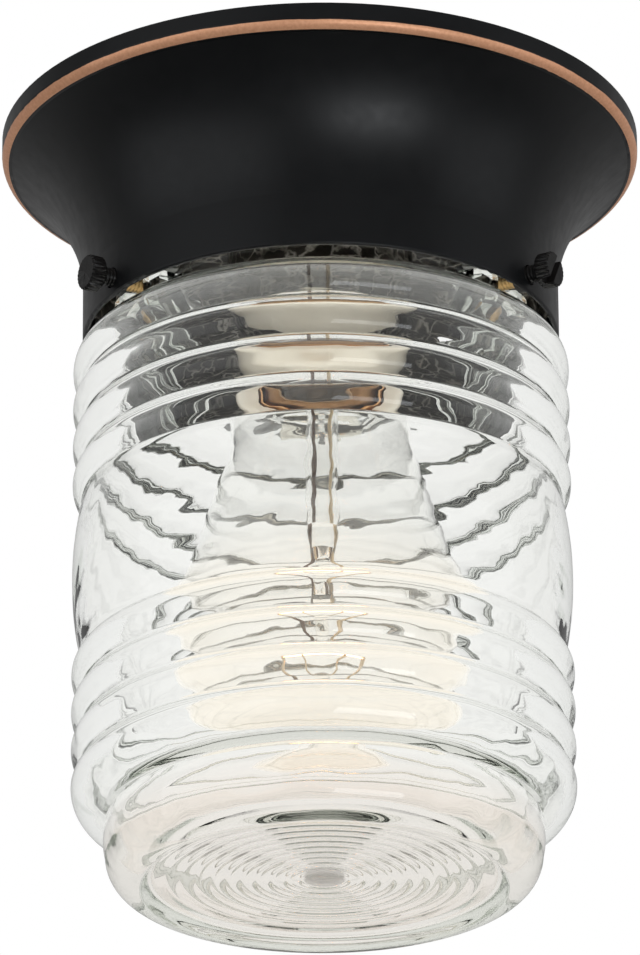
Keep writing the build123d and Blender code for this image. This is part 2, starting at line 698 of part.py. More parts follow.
def make_bulb():
    tuck_inner_r = bulb_tuck_r - BULB_WALL
    bulb_tip = equator_depth + globe_r
    return turned(
        *bulb_curve(0),
        line((0, bulb_tip), (0, bulb_tip - BULB_WALL)),
        *bulb_curve(BULB_WALL),
        line((tuck_inner_r, bulb_tuck_depth), (bulb_tuck_r, bulb_tuck_depth)),
    )


def make_stem():
    """A hollow flare and tube, closed by the pinch that grips the wires, with a rod below it."""
    stem_r = STEM_D / 2
    bore = stem_r - STEM_WALL
    rod_r = STEM_ROD_D / 2
    flare_end = bulb_tuck_depth + STEM_FLARE_H
    pinch_top = pinch_depth - STEM_PINCH_H
    outer, inner = [
        Spline(
            at(stem_flare_r - inset, bulb_tuck_depth),
            at(stem_r - inset, flare_end),
            tangents=[(-1, 0, -1), (0, 0, -1)],
        )
        for inset in (0, STEM_WALL)
    ]
    return turned(
        line((stem_flare_r - STEM_WALL, bulb_tuck_depth), (stem_flare_r, bulb_tuck_depth)),
        outer,
        line((stem_r, flare_end), (stem_r, pinch_top), (STEM_PINCH_D / 2, pinch_depth), (rod_r, pinch_depth),
             (rod_r, rod_end), (0, rod_end + STEM_BUTTON_H), (0, pinch_top), (bore, pinch_top),
             (bore, flare_end)),
        inner,
    )


def make_lead_wires():
    """Each lead has a run inside the stem, down to the pinch, and a run from the pinch to the filament."""
    inside_x = STEM_D / 2 - STEM_WALL - LEAD_CLEAR - LEAD_D / 2
    inside_top = bulb_tuck_depth + LEAD_TOP
    inside_end = pinch_depth - STEM_PINCH_H - WIRE_GAP
    root_x = (STEM_PINCH_D + STEM_ROD_D) / 4
    start = pinch_depth + WIRE_GAP
    end = filament_depth - FILAMENT_D / 2 - WIRE_GAP
    runs = []
    for side in (-1, 1):
        x = side * inside_x
        runs.append(rod((x, 0, -inside_top), (x, 0, -inside_end), LEAD_D / 2))
        runs.append(rod((side * root_x, 0, -start), (side * FILAMENT_SPAN / 2, 0, -end), LEAD_D / 2))
    return runs


def filament_drop(x):
    """How far the hanging filament lies below its ends at a distance from the axis."""
    return FILAMENT_SAG * (1 - (2 * x / FILAMENT_SPAN) ** 2)


def make_support_wires():
    root_x = STEM_ROD_D / 2 + SUPPORT_D / 2 + WIRE_GAP
    end_x = SUPPORT_SPAN / 2
    end = filament_depth + filament_drop(end_x) - FILAMENT_D / 2 - 2 * WIRE_GAP
    return [rod((side * root_x, 0, -rod_end), (side * end_x, 0, -end), SUPPORT_D / 2) for side in (-1, 1)]


def make_filament():
    end_x = FILAMENT_SPAN / 2
    path = bow((-end_x, filament_depth), (0, filament_depth + FILAMENT_SAG), (end_x, filament_depth))
    section = Plane(origin=path @ 0, z_dir=path % 0) * Circle(FILAMENT_D / 2)
    return sweep(section, path)


nodes = {
    "canopy": make_canopy(),
    "glass_jar": make_jar(),
    "socket_plate": make_socket_plate(),
    "mounting_strap": make_mounting_strap(),
    "mounting_screws": make_mounting_screws(),
    "ground_screw": make_ground_screw(),
    "socket_body": make_socket_body(),
    "socket_sleeve": make_socket_sleeve(),
    "socket_screw_shell": make_socket_shell(),
    "socket_contact": make_socket_contact(),
    "socket_screws": make_socket_screws(),
    "contact_rivet": make_rivet(HOT_X, HOT_RIVET_Y, socket_floor + CONTACT_SHEET),
    "shell_rivet": make_rivet(NEUTRAL_X, NEUTRAL_RIVET_Y, socket_floor + SHELL_WALL),
    "hot_terminal_clip": make_terminal_clip(HOT_X, HOT_RIVET_Y, HOT_SCREW_Y),
    "neutral_terminal_clip": make_terminal_clip(NEUTRAL_X, NEUTRAL_RIVET_Y, NEUTRAL_SCREW_Y),
    "hot_terminal_screw": make_terminal_screw(HOT_X, HOT_SCREW_Y),
    "neutral_terminal_screw": make_terminal_screw(NEUTRAL_X, NEUTRAL_SCREW_Y),
    "bulb_contact": make_lamp_contact(),
    "bulb_insulator": make_lamp_insulator(),
    "bulb_cap": make_lamp_cap(),
    "bulb_glass": make_bulb(),
    "bulb_stem": make_stem(),
    "bulb_lead_wires": make_lead_wires(),
    "bulb_support_wires": make_support_wires(),
    "bulb_filament": make_filament(),
}
for name, angle, slot_angle in zip(THUMB_NAMES, thumb_angles, THUMB_SLOT_ANGLES):
    nodes["thumbscrew_" + name] = make_thumbscrew(angle, slot_angle)

os.makedirs("parts", exist_ok=True)
for name, shape in nodes.items():
    solids = shape if isinstance(shape, list) else shape.solids()
    whole = Compound(children=solids) if len(solids) > 1 else solids[0]
    export_step(whole, "parts/" + name + ".step")
    print(name, len(solids), round(sum(solid.volume for solid in solids), 1))
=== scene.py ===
# %% [markdown]
# # A jelly jar ceiling light
# The light hangs from the ceiling: a spun, dark bronze canopy whose collar holds a ribbed jar of clear
# glass with three thumbscrews, around a porcelain lampholder and a clear lamp. The CAD frame gives every
# place and size. This lesson dresses the frame piece by piece, in metres, and each new piece rides on the
# body of the node that it stands for.

# %% Load the frame
from math import asin, atan2, cos, degrees, pi, radians, sin

import bmesh
import bpy
from mathutils import Matrix, Vector


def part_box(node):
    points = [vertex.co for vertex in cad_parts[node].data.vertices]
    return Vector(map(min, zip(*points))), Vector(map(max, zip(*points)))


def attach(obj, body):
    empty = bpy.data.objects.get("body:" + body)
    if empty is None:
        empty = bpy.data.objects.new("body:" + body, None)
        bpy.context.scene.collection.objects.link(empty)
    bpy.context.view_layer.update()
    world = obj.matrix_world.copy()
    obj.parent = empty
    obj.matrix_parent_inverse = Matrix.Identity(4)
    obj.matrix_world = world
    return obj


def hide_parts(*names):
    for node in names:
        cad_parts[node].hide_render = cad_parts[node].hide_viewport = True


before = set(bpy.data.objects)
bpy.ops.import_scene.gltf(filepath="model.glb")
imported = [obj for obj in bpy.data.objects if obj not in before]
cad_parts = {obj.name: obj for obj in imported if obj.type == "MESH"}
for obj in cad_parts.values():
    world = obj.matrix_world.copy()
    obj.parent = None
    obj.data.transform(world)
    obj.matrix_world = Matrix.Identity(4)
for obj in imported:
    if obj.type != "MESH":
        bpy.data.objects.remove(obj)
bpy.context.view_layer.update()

MM = 0.001

# %% [markdown]
# ## Small helpers for node trees
# Shader trees and Geometry Nodes trees are both nodes and links. One helper that makes a node, sets it and
# joins its sockets keeps the later cells short, so that a reader sees the idea and not the wiring.

# %% Node helpers
def node(tree, kind, inputs=None, **settings):
    """Adds a node. An input is a value or another node's output socket."""
    new = tree.nodes.new(kind)
    for name, value in settings.items():
        setattr(new, name, value)
    for key, value in (inputs or {}).items():
        if isinstance(value, bpy.types.NodeSocket):
            tree.links.new(value, new.inputs[key])
        else:
            new.inputs[key].default_value = value
    return new


def calc(tree, operation, *values):
    """A sum on numbers, as a Math node's output."""
    return node(tree, "ShaderNodeMath", dict(enumerate(values)), operation=operation).outputs[0]


def ramp(tree, factor, low, high, out_low=0.0, out_high=1.0):
    """Maps a number from one range to another, held at both ends."""
    inputs = {"Value": factor, "From Min": low, "From Max": high, "To Min": out_low, "To Max": out_high}
    return node(tree, "ShaderNodeMapRange", inputs).outputs[0]


def blend(tree, factor, low, high):
    """Mixes two colours, or two other nodes' colour outputs."""
    mix = node(tree, "ShaderNodeMix", data_type="RGBA")
    sockets = [s for s in mix.inputs if s.enabled]
    for socket, value in zip(sockets, (factor, low, high)):
        if isinstance(value, bpy.types.NodeSocket):
            tree.links.new(value, socket)
        else:
            socket.default_value = value
    return [s for s in mix.outputs if s.enabled][0]


def around_axis(tree, spot):
    """A place as its X, Y and Z, and as a flat vector that points away from the Z axis."""
    split = node(tree, "ShaderNodeSeparateXYZ", {0: spot}).outputs
    return split, node(tree, "ShaderNodeCombineXYZ", {"X": split["X"], "Y": split["Y"]}).outputs[0]


def length(tree, vector):
    """The length of a vector: of a flat one, the distance from the axis."""
    return node(tree, "ShaderNodeVectorMath", {0: vector}, operation="LENGTH").outputs["Value"]


# %% [markdown]
# ## A tree that turns a half section
# The canopy, the jar, the lamp and most of the lampholder are round. On the real parts a spinning lathe, a
# mould or a press makes them so. A Geometry Nodes tree can do the same: it takes a half section drawn as a
# run of edges, lays out a grid with one column for each point of the section and one row for each step of
# the turn, and swings every row about the Z axis. Points that meet, at the seam and on the axis, are
# merged.

# %% Trees and their sockets
def new_tree(name, inputs):
    """An empty Geometry Nodes tree with a geometry in and out, and the named inputs."""
    tree = bpy.data.node_groups.new(name, "GeometryNodeTree")
    tree.interface.new_socket("Geometry", in_out="INPUT", socket_type="NodeSocketGeometry")
    for label, kind in inputs.items():
        tree.interface.new_socket(label, in_out="INPUT", socket_type="NodeSocket" + kind)
    tree.interface.new_socket("Geometry", in_out="OUTPUT", socket_type="NodeSocketGeometry")
    return tree, node(tree, "NodeGroupInput").outputs, node(tree, "NodeGroupOutput").inputs


def finish_tree(tree, geometry, material, result):
    """The end of every tree: real geometry, with its material."""
    real = node(tree, "GeometryNodeRealizeInstances", {"Geometry": geometry}).outputs[0]
    painted = node(tree, "GeometryNodeSetMaterial", {"Geometry": real, "Material": material}).outputs[0]
    tree.links.new(painted, result[0])


def named(tree, name):
    """A number that is kept on each point."""
    return node(tree, "GeometryNodeInputNamedAttribute", {"Name": name}, data_type="FLOAT").outputs[0]


def pushed(tree, geometry, flat, reach):
    """The geometry with every point moved away from the axis by its reach."""
    way = node(tree, "ShaderNodeVectorMath", {0: flat}, operation="NORMALIZE").outputs[0]
    push = node(tree, "ShaderNodeVectorMath", {0: way, "Scale": reach}, operation="SCALE").outputs[0]
    return node(tree, "GeometryNodeSetPosition", {"Geometry": geometry, "Offset": push}).outputs[0]


# %% The turning tree
SEAM = 1e-6
SHARP = radians(32)


def make_turning_tree():
    tree, given, result = new_tree("turn_on_axis", {"Steps": "Int", "Finish": "Material"})
    section = given["Geometry"]
    count = node(tree, "GeometryNodeAttributeDomainSize", {"Geometry": section}).outputs["Point Count"]
    rows = calc(tree, "ADD", given["Steps"], 1)
    grid = node(tree, "GeometryNodeMeshGrid", {"Vertices X": count, "Vertices Y": rows}).outputs["Mesh"]
    index = node(tree, "GeometryNodeInputIndex").outputs[0]
    column = calc(tree, "FLOOR", calc(tree, "DIVIDE", index, rows))
    row = calc(tree, "MODULO", index, rows)
    angle = calc(tree, "DIVIDE", calc(tree, "MULTIPLY", row, 2 * pi), given["Steps"])
    marks = {}
    for name in ("mark", "zone"):
        sample = {"Geometry": section, "Value": named(tree, name), "Index": column}
        marks[name] = node(tree, "GeometryNodeSampleIndex", sample, data_type="FLOAT").outputs[0]
    place = node(tree, "GeometryNodeSampleIndex", data_type="FLOAT_VECTOR")
    tree.links.new(section, place.inputs["Geometry"])
    tree.links.new(node(tree, "GeometryNodeInputPosition").outputs[0], place.inputs["Value"])
    tree.links.new(column, place.inputs["Index"])
    swing = {"Vector": place.outputs[0], "Angle": angle}
    swung = node(tree, "ShaderNodeVectorRotate", swing, rotation_type="Z_AXIS").outputs[0]
    for name, value in marks.items():
        keep = {"Geometry": grid, "Name": name, "Value": value}
        grid = node(tree, "GeometryNodeStoreNamedAttribute", keep, data_type="FLOAT").outputs[0]
    turned = node(tree, "GeometryNodeSetPosition", {"Geometry": grid, "Position": swung}).outputs[0]
    merged = node(tree, "GeometryNodeMergeByDistance", {"Geometry": turned, "Distance": SEAM}).outputs[0]
    finish_tree(tree, merged, given["Finish"], result)
    return tree


turning_tree = make_turning_tree()
print("tree", turning_tree.name, len(turning_tree.nodes), "nodes")

# %% [markdown]
# ## Threads and waves
# Two more trees bend a turned piece. A thread is a helix: at each point the radius follows the height and
# the angle together, which rolled brass shells and cut screws both do. Pressed glass is never quite even,
# so a second tree pushes the points of a wall in and out by a slow noise and a fine one. Both read the
# number called mark, which the section carries, so that only the stretch that needs it moves. The second
# tree also raises lugs beside the thumbscrews, where the number called zone is 1.

# %% The thread tree
def make_thread_tree():
    inputs = {"Depth": "Float", "Pitch": "Float", "Sharpness": "Float", "Finish": "Material"}
    tree, given, result = new_tree("cut_thread", inputs)
    split, flat = around_axis(tree, node(tree, "GeometryNodeInputPosition").outputs[0])
    turn = calc(tree, "DIVIDE", calc(tree, "ARCTAN2", split["Y"], split["X"]), 2 * pi)
    phase = calc(tree, "SUBTRACT", calc(tree, "DIVIDE", split["Z"], given["Pitch"]), turn)
    round_wave = calc(tree, "SINE", calc(tree, "MULTIPLY", phase, 2 * pi))
    fold = calc(tree, "PINGPONG", calc(tree, "MULTIPLY", phase, 2), 1)
    sharp_wave = calc(tree, "SUBTRACT", calc(tree, "MULTIPLY", fold, 2), 1)
    wave = calc(tree, "ADD", calc(tree, "MULTIPLY", sharp_wave, given["Sharpness"]),
                calc(tree, "MULTIPLY", round_wave, calc(tree, "SUBTRACT", 1, given["Sharpness"])))
    reach = calc(tree, "MULTIPLY", calc(tree, "MULTIPLY", wave, given["Depth"]), named(tree, "mark"))
    finish_tree(tree, pushed(tree, given["Geometry"], flat, reach), given["Finish"], result)
    return tree


thread_tree = make_thread_tree()
print("tree", thread_tree.name, len(thread_tree.nodes), "nodes")


# %% The glass wave tree
def make_wave_tree():
    inputs = {"Depth": "Float", "Length": "Float", "Ripple Depth": "Float", "Ripple Length": "Float",
              "Flatness": "Float", "Lug Radius": "Float", "Lug Near": "Float", "Lug Far": "Float",
              "First Angle": "Float", "Spacing": "Float", "Finish": "Material"}
    tree, given, result = new_tree("wave_the_glass", inputs)
    split, flat = around_axis(tree, node(tree, "GeometryNodeInputPosition").outputs[0])
    tall = calc(tree, "MULTIPLY", split["Z"], given["Flatness"])
    spot = node(tree, "ShaderNodeCombineXYZ", {"X": split["X"], "Y": split["Y"], "Z": tall}).outputs[0]
    swells = []
    for label in ("", "Ripple "):
        noise = {"Vector": spot, "Scale": calc(tree, "DIVIDE", 1, given[label + "Length"]), "Detail": 1.0}
        swell = calc(tree, "SUBTRACT", node(tree, "ShaderNodeTexNoise", noise).outputs[0], 0.5)
        swells.append(calc(tree, "MULTIPLY", swell, given[label + "Depth"]))
    reach = calc(tree, "MULTIPLY", calc(tree, "ADD", *swells), named(tree, "mark"))
    turn = calc(tree, "SUBTRACT", calc(tree, "ARCTAN2", split["Y"], split["X"]), given["First Angle"])
    fold = calc(tree, "PINGPONG", calc(tree, "ADD", turn, 4 * pi), calc(tree, "DIVIDE", given["Spacing"], 2))
    aside = calc(tree, "MULTIPLY", given["Lug Radius"], fold)
    inside = calc(tree, "MULTIPLY", calc(tree, "GREATER_THAN", aside, given["Lug Near"]),
                  calc(tree, "LESS_THAN", aside, given["Lug Far"]))
    short = calc(tree, "MAXIMUM", calc(tree, "SUBTRACT", given["Lug Radius"], length(tree, flat)), 0)
    lug = calc(tree, "MULTIPLY", calc(tree, "MULTIPLY", short, inside), named(tree, "zone"))
    moved = pushed(tree, given["Geometry"], flat, calc(tree, "ADD", reach, lug))
    finish_tree(tree, moved, given["Finish"], result)
    return tree


wave_tree = make_wave_tree()
print("tree", wave_tree.name, len(wave_tree.nodes), "nodes")

# %% [markdown]
# ## Sections and finished pieces
# A half section is written as the shop drawing has it: the distance from the axis and the depth below the
# ceiling, in millimetres, with round stretches as arcs. A third number is the mark, and a fourth the zone.
# A section becomes an object of edges, the trees shape it, and the evaluated result is kept as a plain
# mesh, because the fixed frame needs meshes and not modifiers.

# %% Section helpers
def arc(centre, r, start, end, count=12):
    """Points on a round, where 0 degrees points outwards and 90 degrees points down."""
    turns = [radians(start + (end - start) * k / count) for k in range(count + 1)]
    return [(centre[0] + r * cos(a), centre[1] + r * sin(a)) for a in turns]


def run(start, end, count):
    """Evenly spaced points on a straight stretch."""
    steps = [k / count for k in range(count + 1)]
    return [tuple(a + (b - a) * t for a, b in zip(start, end)) for t in steps]


def crown(start, end, sag, count=12):
    """A shallow round between two points, swelling outwards by sag."""
    middle = [(a + b) / 2 for a, b in zip(start, end)]
    half = ((end[0] - start[0]) ** 2 + (end[1] - start[1]) ** 2) ** 0.5 / 2
    r = (half ** 2 + sag ** 2) / (2 * sag)
    along = [(b - a) / (2 * half) for a, b in zip(start, end)]
    centre = (middle[0] + along[1] * (sag - r), middle[1] - along[0] * (sag - r))
    lean = degrees(atan2(-along[0], along[1]))
    swing = degrees(asin(half / r))
    return arc(centre, r, lean - swing, lean + swing, count)


def marked(points, mark, zone=0.0):
    """The same points with their mark and zone numbers."""
    return [(p[0], p[1], mark, zone) for p in points]


SAME_POINT = 1e-4


def clean(points):
    """Drops a point that repeats the one before it."""
    kept = [points[0]]
    for p in points[1:]:
        if abs(p[0] - kept[-1][0]) + abs(p[1] - kept[-1][1]) > SAME_POINT:
            kept.append(p)
    return kept


# %% Piece helpers
def section_object(name, points):
    """A half section as an object of edges, with its marks kept on its points."""
    points = clean(points)
    mesh = bpy.data.meshes.new(name)
    edges = [(k, k + 1) for k in range(len(points) - 1)]
    mesh.from_pydata([(p[0] * MM, 0, -p[1] * MM) for p in points], edges, [])
    for place, label in ((2, "mark"), (3, "zone")):
        values = mesh.attributes.new(label, "FLOAT", "POINT")
        values.data.foreach_set("value", [p[place] if len(p) > place else 0.0 for p in points])
    piece = bpy.data.objects.new(name, mesh)
    bpy.context.scene.collection.objects.link(piece)
    return piece


def shape(piece, tree, values):
    """Adds a tree to a piece and sets its named inputs."""
    modifier = piece.modifiers.new(tree.name, "NODES")
    modifier.node_group = tree
    for item in tree.interface.items_tree:
        if item.in_out == "INPUT" and item.name in values:
            modifier[item.identifier] = values[item.name]


def settle(piece):
    """Keeps the evaluated result as a plain mesh with its faces outwards."""
    bpy.context.view_layer.update()
    graph = bpy.context.evaluated_depsgraph_get()
    mesh = bpy.data.meshes.new_from_object(piece.evaluated_get(graph))
    piece.modifiers.clear()
    piece.data = mesh
    work = bmesh.new()
    work.from_mesh(mesh)
    bmesh.ops.remove_doubles(work, verts=work.verts, dist=SEAM)
    bmesh.ops.recalc_face_normals(work, faces=work.faces)
    work.to_mesh(mesh)
    work.free()
    mesh.shade_smooth()
    mesh.set_sharp_from_angle(angle=SHARP)
    return piece


def turned(name, points, steps, material, *extra):
    """A piece turned from a section, then bent by any further trees."""
    piece = section_object(name, points)
    for tree, values in [(turning_tree, {"Steps": steps}), *extra]:
        shape(piece, tree, {"Finish": material, **values})
    return settle(piece)


def seat(piece, body, cad_node):
    """Hands a finished piece to its body, with the CAD node that it stands for."""
    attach(piece, body)
    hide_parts(cad_node)
    print(piece.name, len(piece.data.polygons), "faces on", body)


# %% [markdown]
# ## Finishes
# Every finish is a small tree on a Principled shader. Colour, gloss and relief vary over the surface, as
# they do on the real thing, and read Object coordinates, so that nothing slides when a piece moves.

# %% Finish helpers
def new_finish(name, **constants):
    """A material with its shader, and values that are the same all over set on the shader's sockets."""
    material = bpy.data.materials.new(name)
    material.use_nodes = True
    tree = material.node_tree
    shader = tree.nodes["Principled BSDF"]
    for label, value in constants.items():
        shader.inputs[label.replace("_", " ")].default_value = value
    spot = node(tree, "ShaderNodeTexCoord").outputs["Object"]
    return material, tree, shader.inputs, spot


def speckle(tree, spot, size, detail=3.0, stretch=(1, 1, 1)):
    """A noise whose blotches are about the given size, in millimetres."""
    at = node(tree, "ShaderNodeMapping", {"Vector": spot, "Scale": stretch}).outputs[0]
    noise = {"Vector": at, "Scale": 1 / (size * MM), "Detail": detail}
    return node(tree, "ShaderNodeTexNoise", noise).outputs[0]


NOISE_LOW, NOISE_HIGH = 0.3, 0.7


def spread(tree, noise, low=0.0, high=1.0):
    """Spreads the range that a noise mostly keeps to over another range."""
    return ramp(tree, noise, NOISE_LOW, NOISE_HIGH, low, high)


def relief(tree, sockets, height, depth):
    """A bump of the given depth, in millimetres."""
    bump = node(tree, "ShaderNodeBump", {"Height": height, "Strength": 1.0, "Distance": depth * MM})
    tree.links.new(bump.outputs[0], sockets["Normal"])


# %% [markdown]
# ### Dark bronze with a rubbed copper edge
# The canopy is plated, blackened and lacquered, and the edge of its rim is rubbed back to copper. The
# copper is a band on the round of the rim, found by its depth and its distance from the axis, with a noise
# on its borders so that it looks rubbed by hand. A painted texture could hold it too, but a band that is
# found from the place needs no unwrapping and stays sharp from near by.

# %% Dark bronze
COPPER_TOP = -3.85
COPPER_END = -5.8
COPPER_R = 68.5
COPPER_WANDER = 0.09
COPPER_SOFT = 0.14
COPPER_METALLIC = 0.5
COPPER_TONES = (0.6, 0.27, 0.14, 1), (0.85, 0.46, 0.28, 1)
BRONZE_TONES = (0.0026, 0.0028, 0.0032, 1), (0.0036, 0.0038, 0.0042, 1)
BRONZE_GLOSS = 0.35, 0.42


def make_dark_bronze():
    material, tree, sockets, spot = new_finish("dark_bronze")
    split, flat = around_axis(tree, spot)
    wander = spread(tree, speckle(tree, spot, 6.0), -COPPER_WANDER * MM, COPPER_WANDER * MM)
    height = calc(tree, "ADD", split["Z"], wander)
    below = ramp(tree, height, COPPER_TOP * MM, (COPPER_TOP - COPPER_SOFT) * MM)
    above = ramp(tree, height, COPPER_END * MM, (COPPER_END + COPPER_SOFT) * MM)
    out = calc(tree, "GREATER_THAN", length(tree, flat), COPPER_R * MM)
    copper = calc(tree, "MULTIPLY", calc(tree, "MULTIPLY", below, above), out)
    dark = blend(tree, speckle(tree, spot, 14.0), *BRONZE_TONES)
    rubbed = blend(tree, speckle(tree, spot, 0.7), *COPPER_TONES)
    tree.links.new(blend(tree, copper, dark, rubbed), sockets["Base Color"])
    tree.links.new(calc(tree, "MULTIPLY", copper, COPPER_METALLIC), sockets["Metallic"])
    tree.links.new(spread(tree, speckle(tree, spot, 3.0), *BRONZE_GLOSS), sockets["Roughness"])
    relief(tree, sockets, speckle(tree, spot, 0.35, 2.0), 0.004)
    return material


dark_bronze = make_dark_bronze()
print("finish", dark_bronze.name)

# %% [markdown]
# ### Clear glass
# The jar is pressed soda glass, a little green where it is thick. Light bends in its real walls, so the
# shader is clear, the shape does the work, and a volume colours what crosses a lot of glass. The base
# carries a painted warm glow of the lamp in its colour, and the button at its middle, where the hot glass
# was cut off, is frosted and grey. The lamp's bulb is blown thinner, and its lower part carries the warm
# light of the filament.

# %% Clear glass
GLASS_IOR = 1.5
CLEAR = (0.985, 0.985, 0.975, 1)
GLASS_GREEN = (0.69, 0.725, 0.675, 1)
GLASS_DENSITY = 32.0
# Painted light: the base colour turns warm towards the bottom, for the lamp's warm light in the base.
PAINTED_BASE_GLOW = (0.985, 0.942, 0.905, 1)
PAINTED_BASE_GLOW_TOP = -158.0
PAINTED_BASE_GLOW_END = -166.0
GATE_R = 4.4
GATE_SOFT = 0.3
GATE_TOP = -160.0
GATE_ROUGH = 0.3
GATE_SEEDS = 0.0, 0.35
GATE_TONES = (0.62, 0.57, 0.54, 1), (0.82, 0.78, 0.75, 1)
GLOW_TOP = -98.0
GLOW_END = -114.0
GLOW = 0.035
GLOW_COLOUR = (1.0, 0.86, 0.66, 1)
GLOW_TINT = (0.982, 0.958, 0.918, 1)


def make_jar_glass():
    """Soda glass: its colour comes from the depth of glass that the light crosses, and its base has a
    painted warm glow of the lamp.
    """
    material, tree, sockets, spot = new_finish("jar_glass", Transmission_Weight=1.0, IOR=GLASS_IOR)
    split, flat = around_axis(tree, spot)
    low = calc(tree, "LESS_THAN", split["Z"], GATE_TOP * MM)
    middle = ramp(tree, length(tree, flat), (GATE_R + GATE_SOFT) * MM, (GATE_R - GATE_SOFT) * MM)
    gate = calc(tree, "MULTIPLY", middle, low)
    seeds = spread(tree, speckle(tree, spot, 2.5, 4.0), *GATE_SEEDS)
    grey = blend(tree, seeds, *GATE_TONES)
    base_glow = blend(tree, ramp(tree, split["Z"], PAINTED_BASE_GLOW_TOP * MM, PAINTED_BASE_GLOW_END * MM), CLEAR, PAINTED_BASE_GLOW)
    tree.links.new(blend(tree, gate, base_glow, grey), sockets["Base Color"])
    tree.links.new(calc(tree, "MULTIPLY", gate, GATE_ROUGH), sockets["Roughness"])
    body = node(tree, "ShaderNodeVolumeAbsorption", {"Color": GLASS_GREEN, "Density": GLASS_DENSITY})
    tree.links.new(body.outputs[0], tree.nodes["Material Output"].inputs["Volume"])
    return material


def make_bulb_glass():
    """Thin lamp glass, warmed low down by the lamp's own light."""
    material, tree, sockets, spot = new_finish(
        "bulb_glass", Transmission_Weight=1.0, IOR=GLASS_IOR, Roughness=0.0, Emission_Color=GLOW_COLOUR)
    height = node(tree, "ShaderNodeSeparateXYZ", {0: spot}).outputs["Z"]
    lit = ramp(tree, height, GLOW_TOP * MM, GLOW_END * MM)
    tree.links.new(blend(tree, lit, CLEAR, GLOW_TINT), sockets["Base Color"])
    tree.links.new(calc(tree, "MULTIPLY", lit, GLOW), sockets["Emission Strength"])
    return material


jar_glass = make_jar_glass()
bulb_glass = make_bulb_glass()
print("finish", jar_glass.name, bulb_glass.name)

# %% [markdown]
# ### Porcelain
# The lampholder is cast porcelain, cream with a thin glaze that pools a little. One flat colour would look
# like plastic, so a soft cloud moves the tone and the gloss together, under a clear coat.

# %% Porcelain
PORCELAIN_TONES = (0.88, 0.79, 0.64, 1), (0.93, 0.87, 0.74, 1)
GLAZE_ROUGHNESS = 0.16, 0.3


def make_porcelain():
    material, tree, sockets, spot = new_finish("porcelain", Coat_Weight=0.6, Coat_Roughness=0.06)
    cloud = speckle(tree, spot, 6.0)
    tree.links.new(blend(tree, cloud, *PORCELAIN_TONES), sockets["Base Color"])
    tree.links.new(spread(tree, cloud, *GLAZE_ROUGHNESS), sockets["Roughness"])
    relief(tree, sockets, speckle(tree, spot, 2.0, 2.0), 0.03)
    return material


porcelain = make_porcelain()
print("finish", porcelain.name)

# %% [markdown]
# ### Brass, nickel and solder
# Rolled brass is brushed along and darkens in spots. Nickel plate and a blob of solder are the same kind of
# surface in other colours, so one function makes all three. Two tones lie in blotches, and one stretched
# noise gives both the gloss and the relief, because a brushed line is rough where it is deep.


# %% Bare metals
def make_metal(name, low, high, smooth, rough, grain=0.8, stretch=(1, 1, 8), depth=0.006):
    """A bare metal: two tones in blotches, a fine grain that is stretched one way, and uneven gloss."""
    material, tree, sockets, spot = new_finish(name, Metallic=1.0)
    tree.links.new(blend(tree, spread(tree, speckle(tree, spot, 3.0)), low, high), sockets["Base Color"])
    lines = speckle(tree, spot, grain, 2.0, stretch)
    tree.links.new(spread(tree, lines, smooth, rough), sockets["Roughness"])
    relief(tree, sockets, lines, depth)
    return material


brass = make_metal("brass", (0.7, 0.4, 0.18, 1), (0.86, 0.56, 0.3, 1), 0.25, 0.42)
nickel = make_metal("nickel", (0.6, 0.57, 0.52, 1), (0.7, 0.68, 0.63, 1), 0.18, 0.3)
solder = make_metal("solder", (0.45, 0.45, 0.46, 1), (0.6, 0.6, 0.61, 1), 0.35, 0.6, 1.2, (1, 1, 1), 0.03)
print("finish", brass.name, nickel.name, solder.name)

# %% [markdown]
# ### Zinc plate
# The strap and its screws are plated with zinc, which grows in crystals and shows a faint spangle. Voronoi
# cells end where they meet, as crystals do, so the random colour of each cell gives it a grey of its own.

# %% Zinc plate
SPANGLE = 4.0
ZINC_TONES = (0.48, 0.48, 0.47, 1), (0.62, 0.62, 0.61, 1)
ZINC_ROUGHNESS = 0.28, 0.46


def make_zinc():
    """Zinc plate: crystals of slightly different greys, with fine scratches."""
    material, tree, sockets, spot = new_finish("zinc_steel", Metallic=1.0)
    crystals = {"Vector": spot, "Scale": 1 / (SPANGLE * MM), "Randomness": 1.0}
    spangle = node(tree, "ShaderNodeTexVoronoi", crystals).outputs["Color"]
    grey = node(tree, "ShaderNodeSeparateColor", {0: spangle}).outputs[0]
    tree.links.new(blend(tree, grey, *ZINC_TONES), sockets["Base Color"])
    scratches = speckle(tree, spot, 0.8, 3.0, (1, 10, 1))
    tree.links.new(spread(tree, scratches, *ZINC_ROUGHNESS), sockets["Roughness"])
    relief(tree, sockets, scratches, 0.004)
    return material


zinc = make_zinc()
print("finish", zinc.name)

# %% [markdown]
# ### The lamp's wires and cap
# Below the pinch the lamp's wires are bright. In the stem the lead on the right is copper and the one on the
# left darker, in blotches.
# The cap is rolled metal, and brown cement covers its inside. Two materials on each piece would do as well,
# but one tree that reads the place, or the zone that the section carries, keeps each piece whole.

# %% Lamp wire
WIRE_DARK_END = -108.0
WIRE_BRIGHT = -114.0
LEFT_LEAD_TONES = (0.07, 0.035, 0.02, 1), (0.2, 0.11, 0.065, 1)
COPPER_LEAD = (0.85, 0.66, 0.42, 1)
BRIGHT_LEAD = (0.8, 0.66, 0.48, 1)
WIRE_ROUGHNESS = 0.3, 0.5


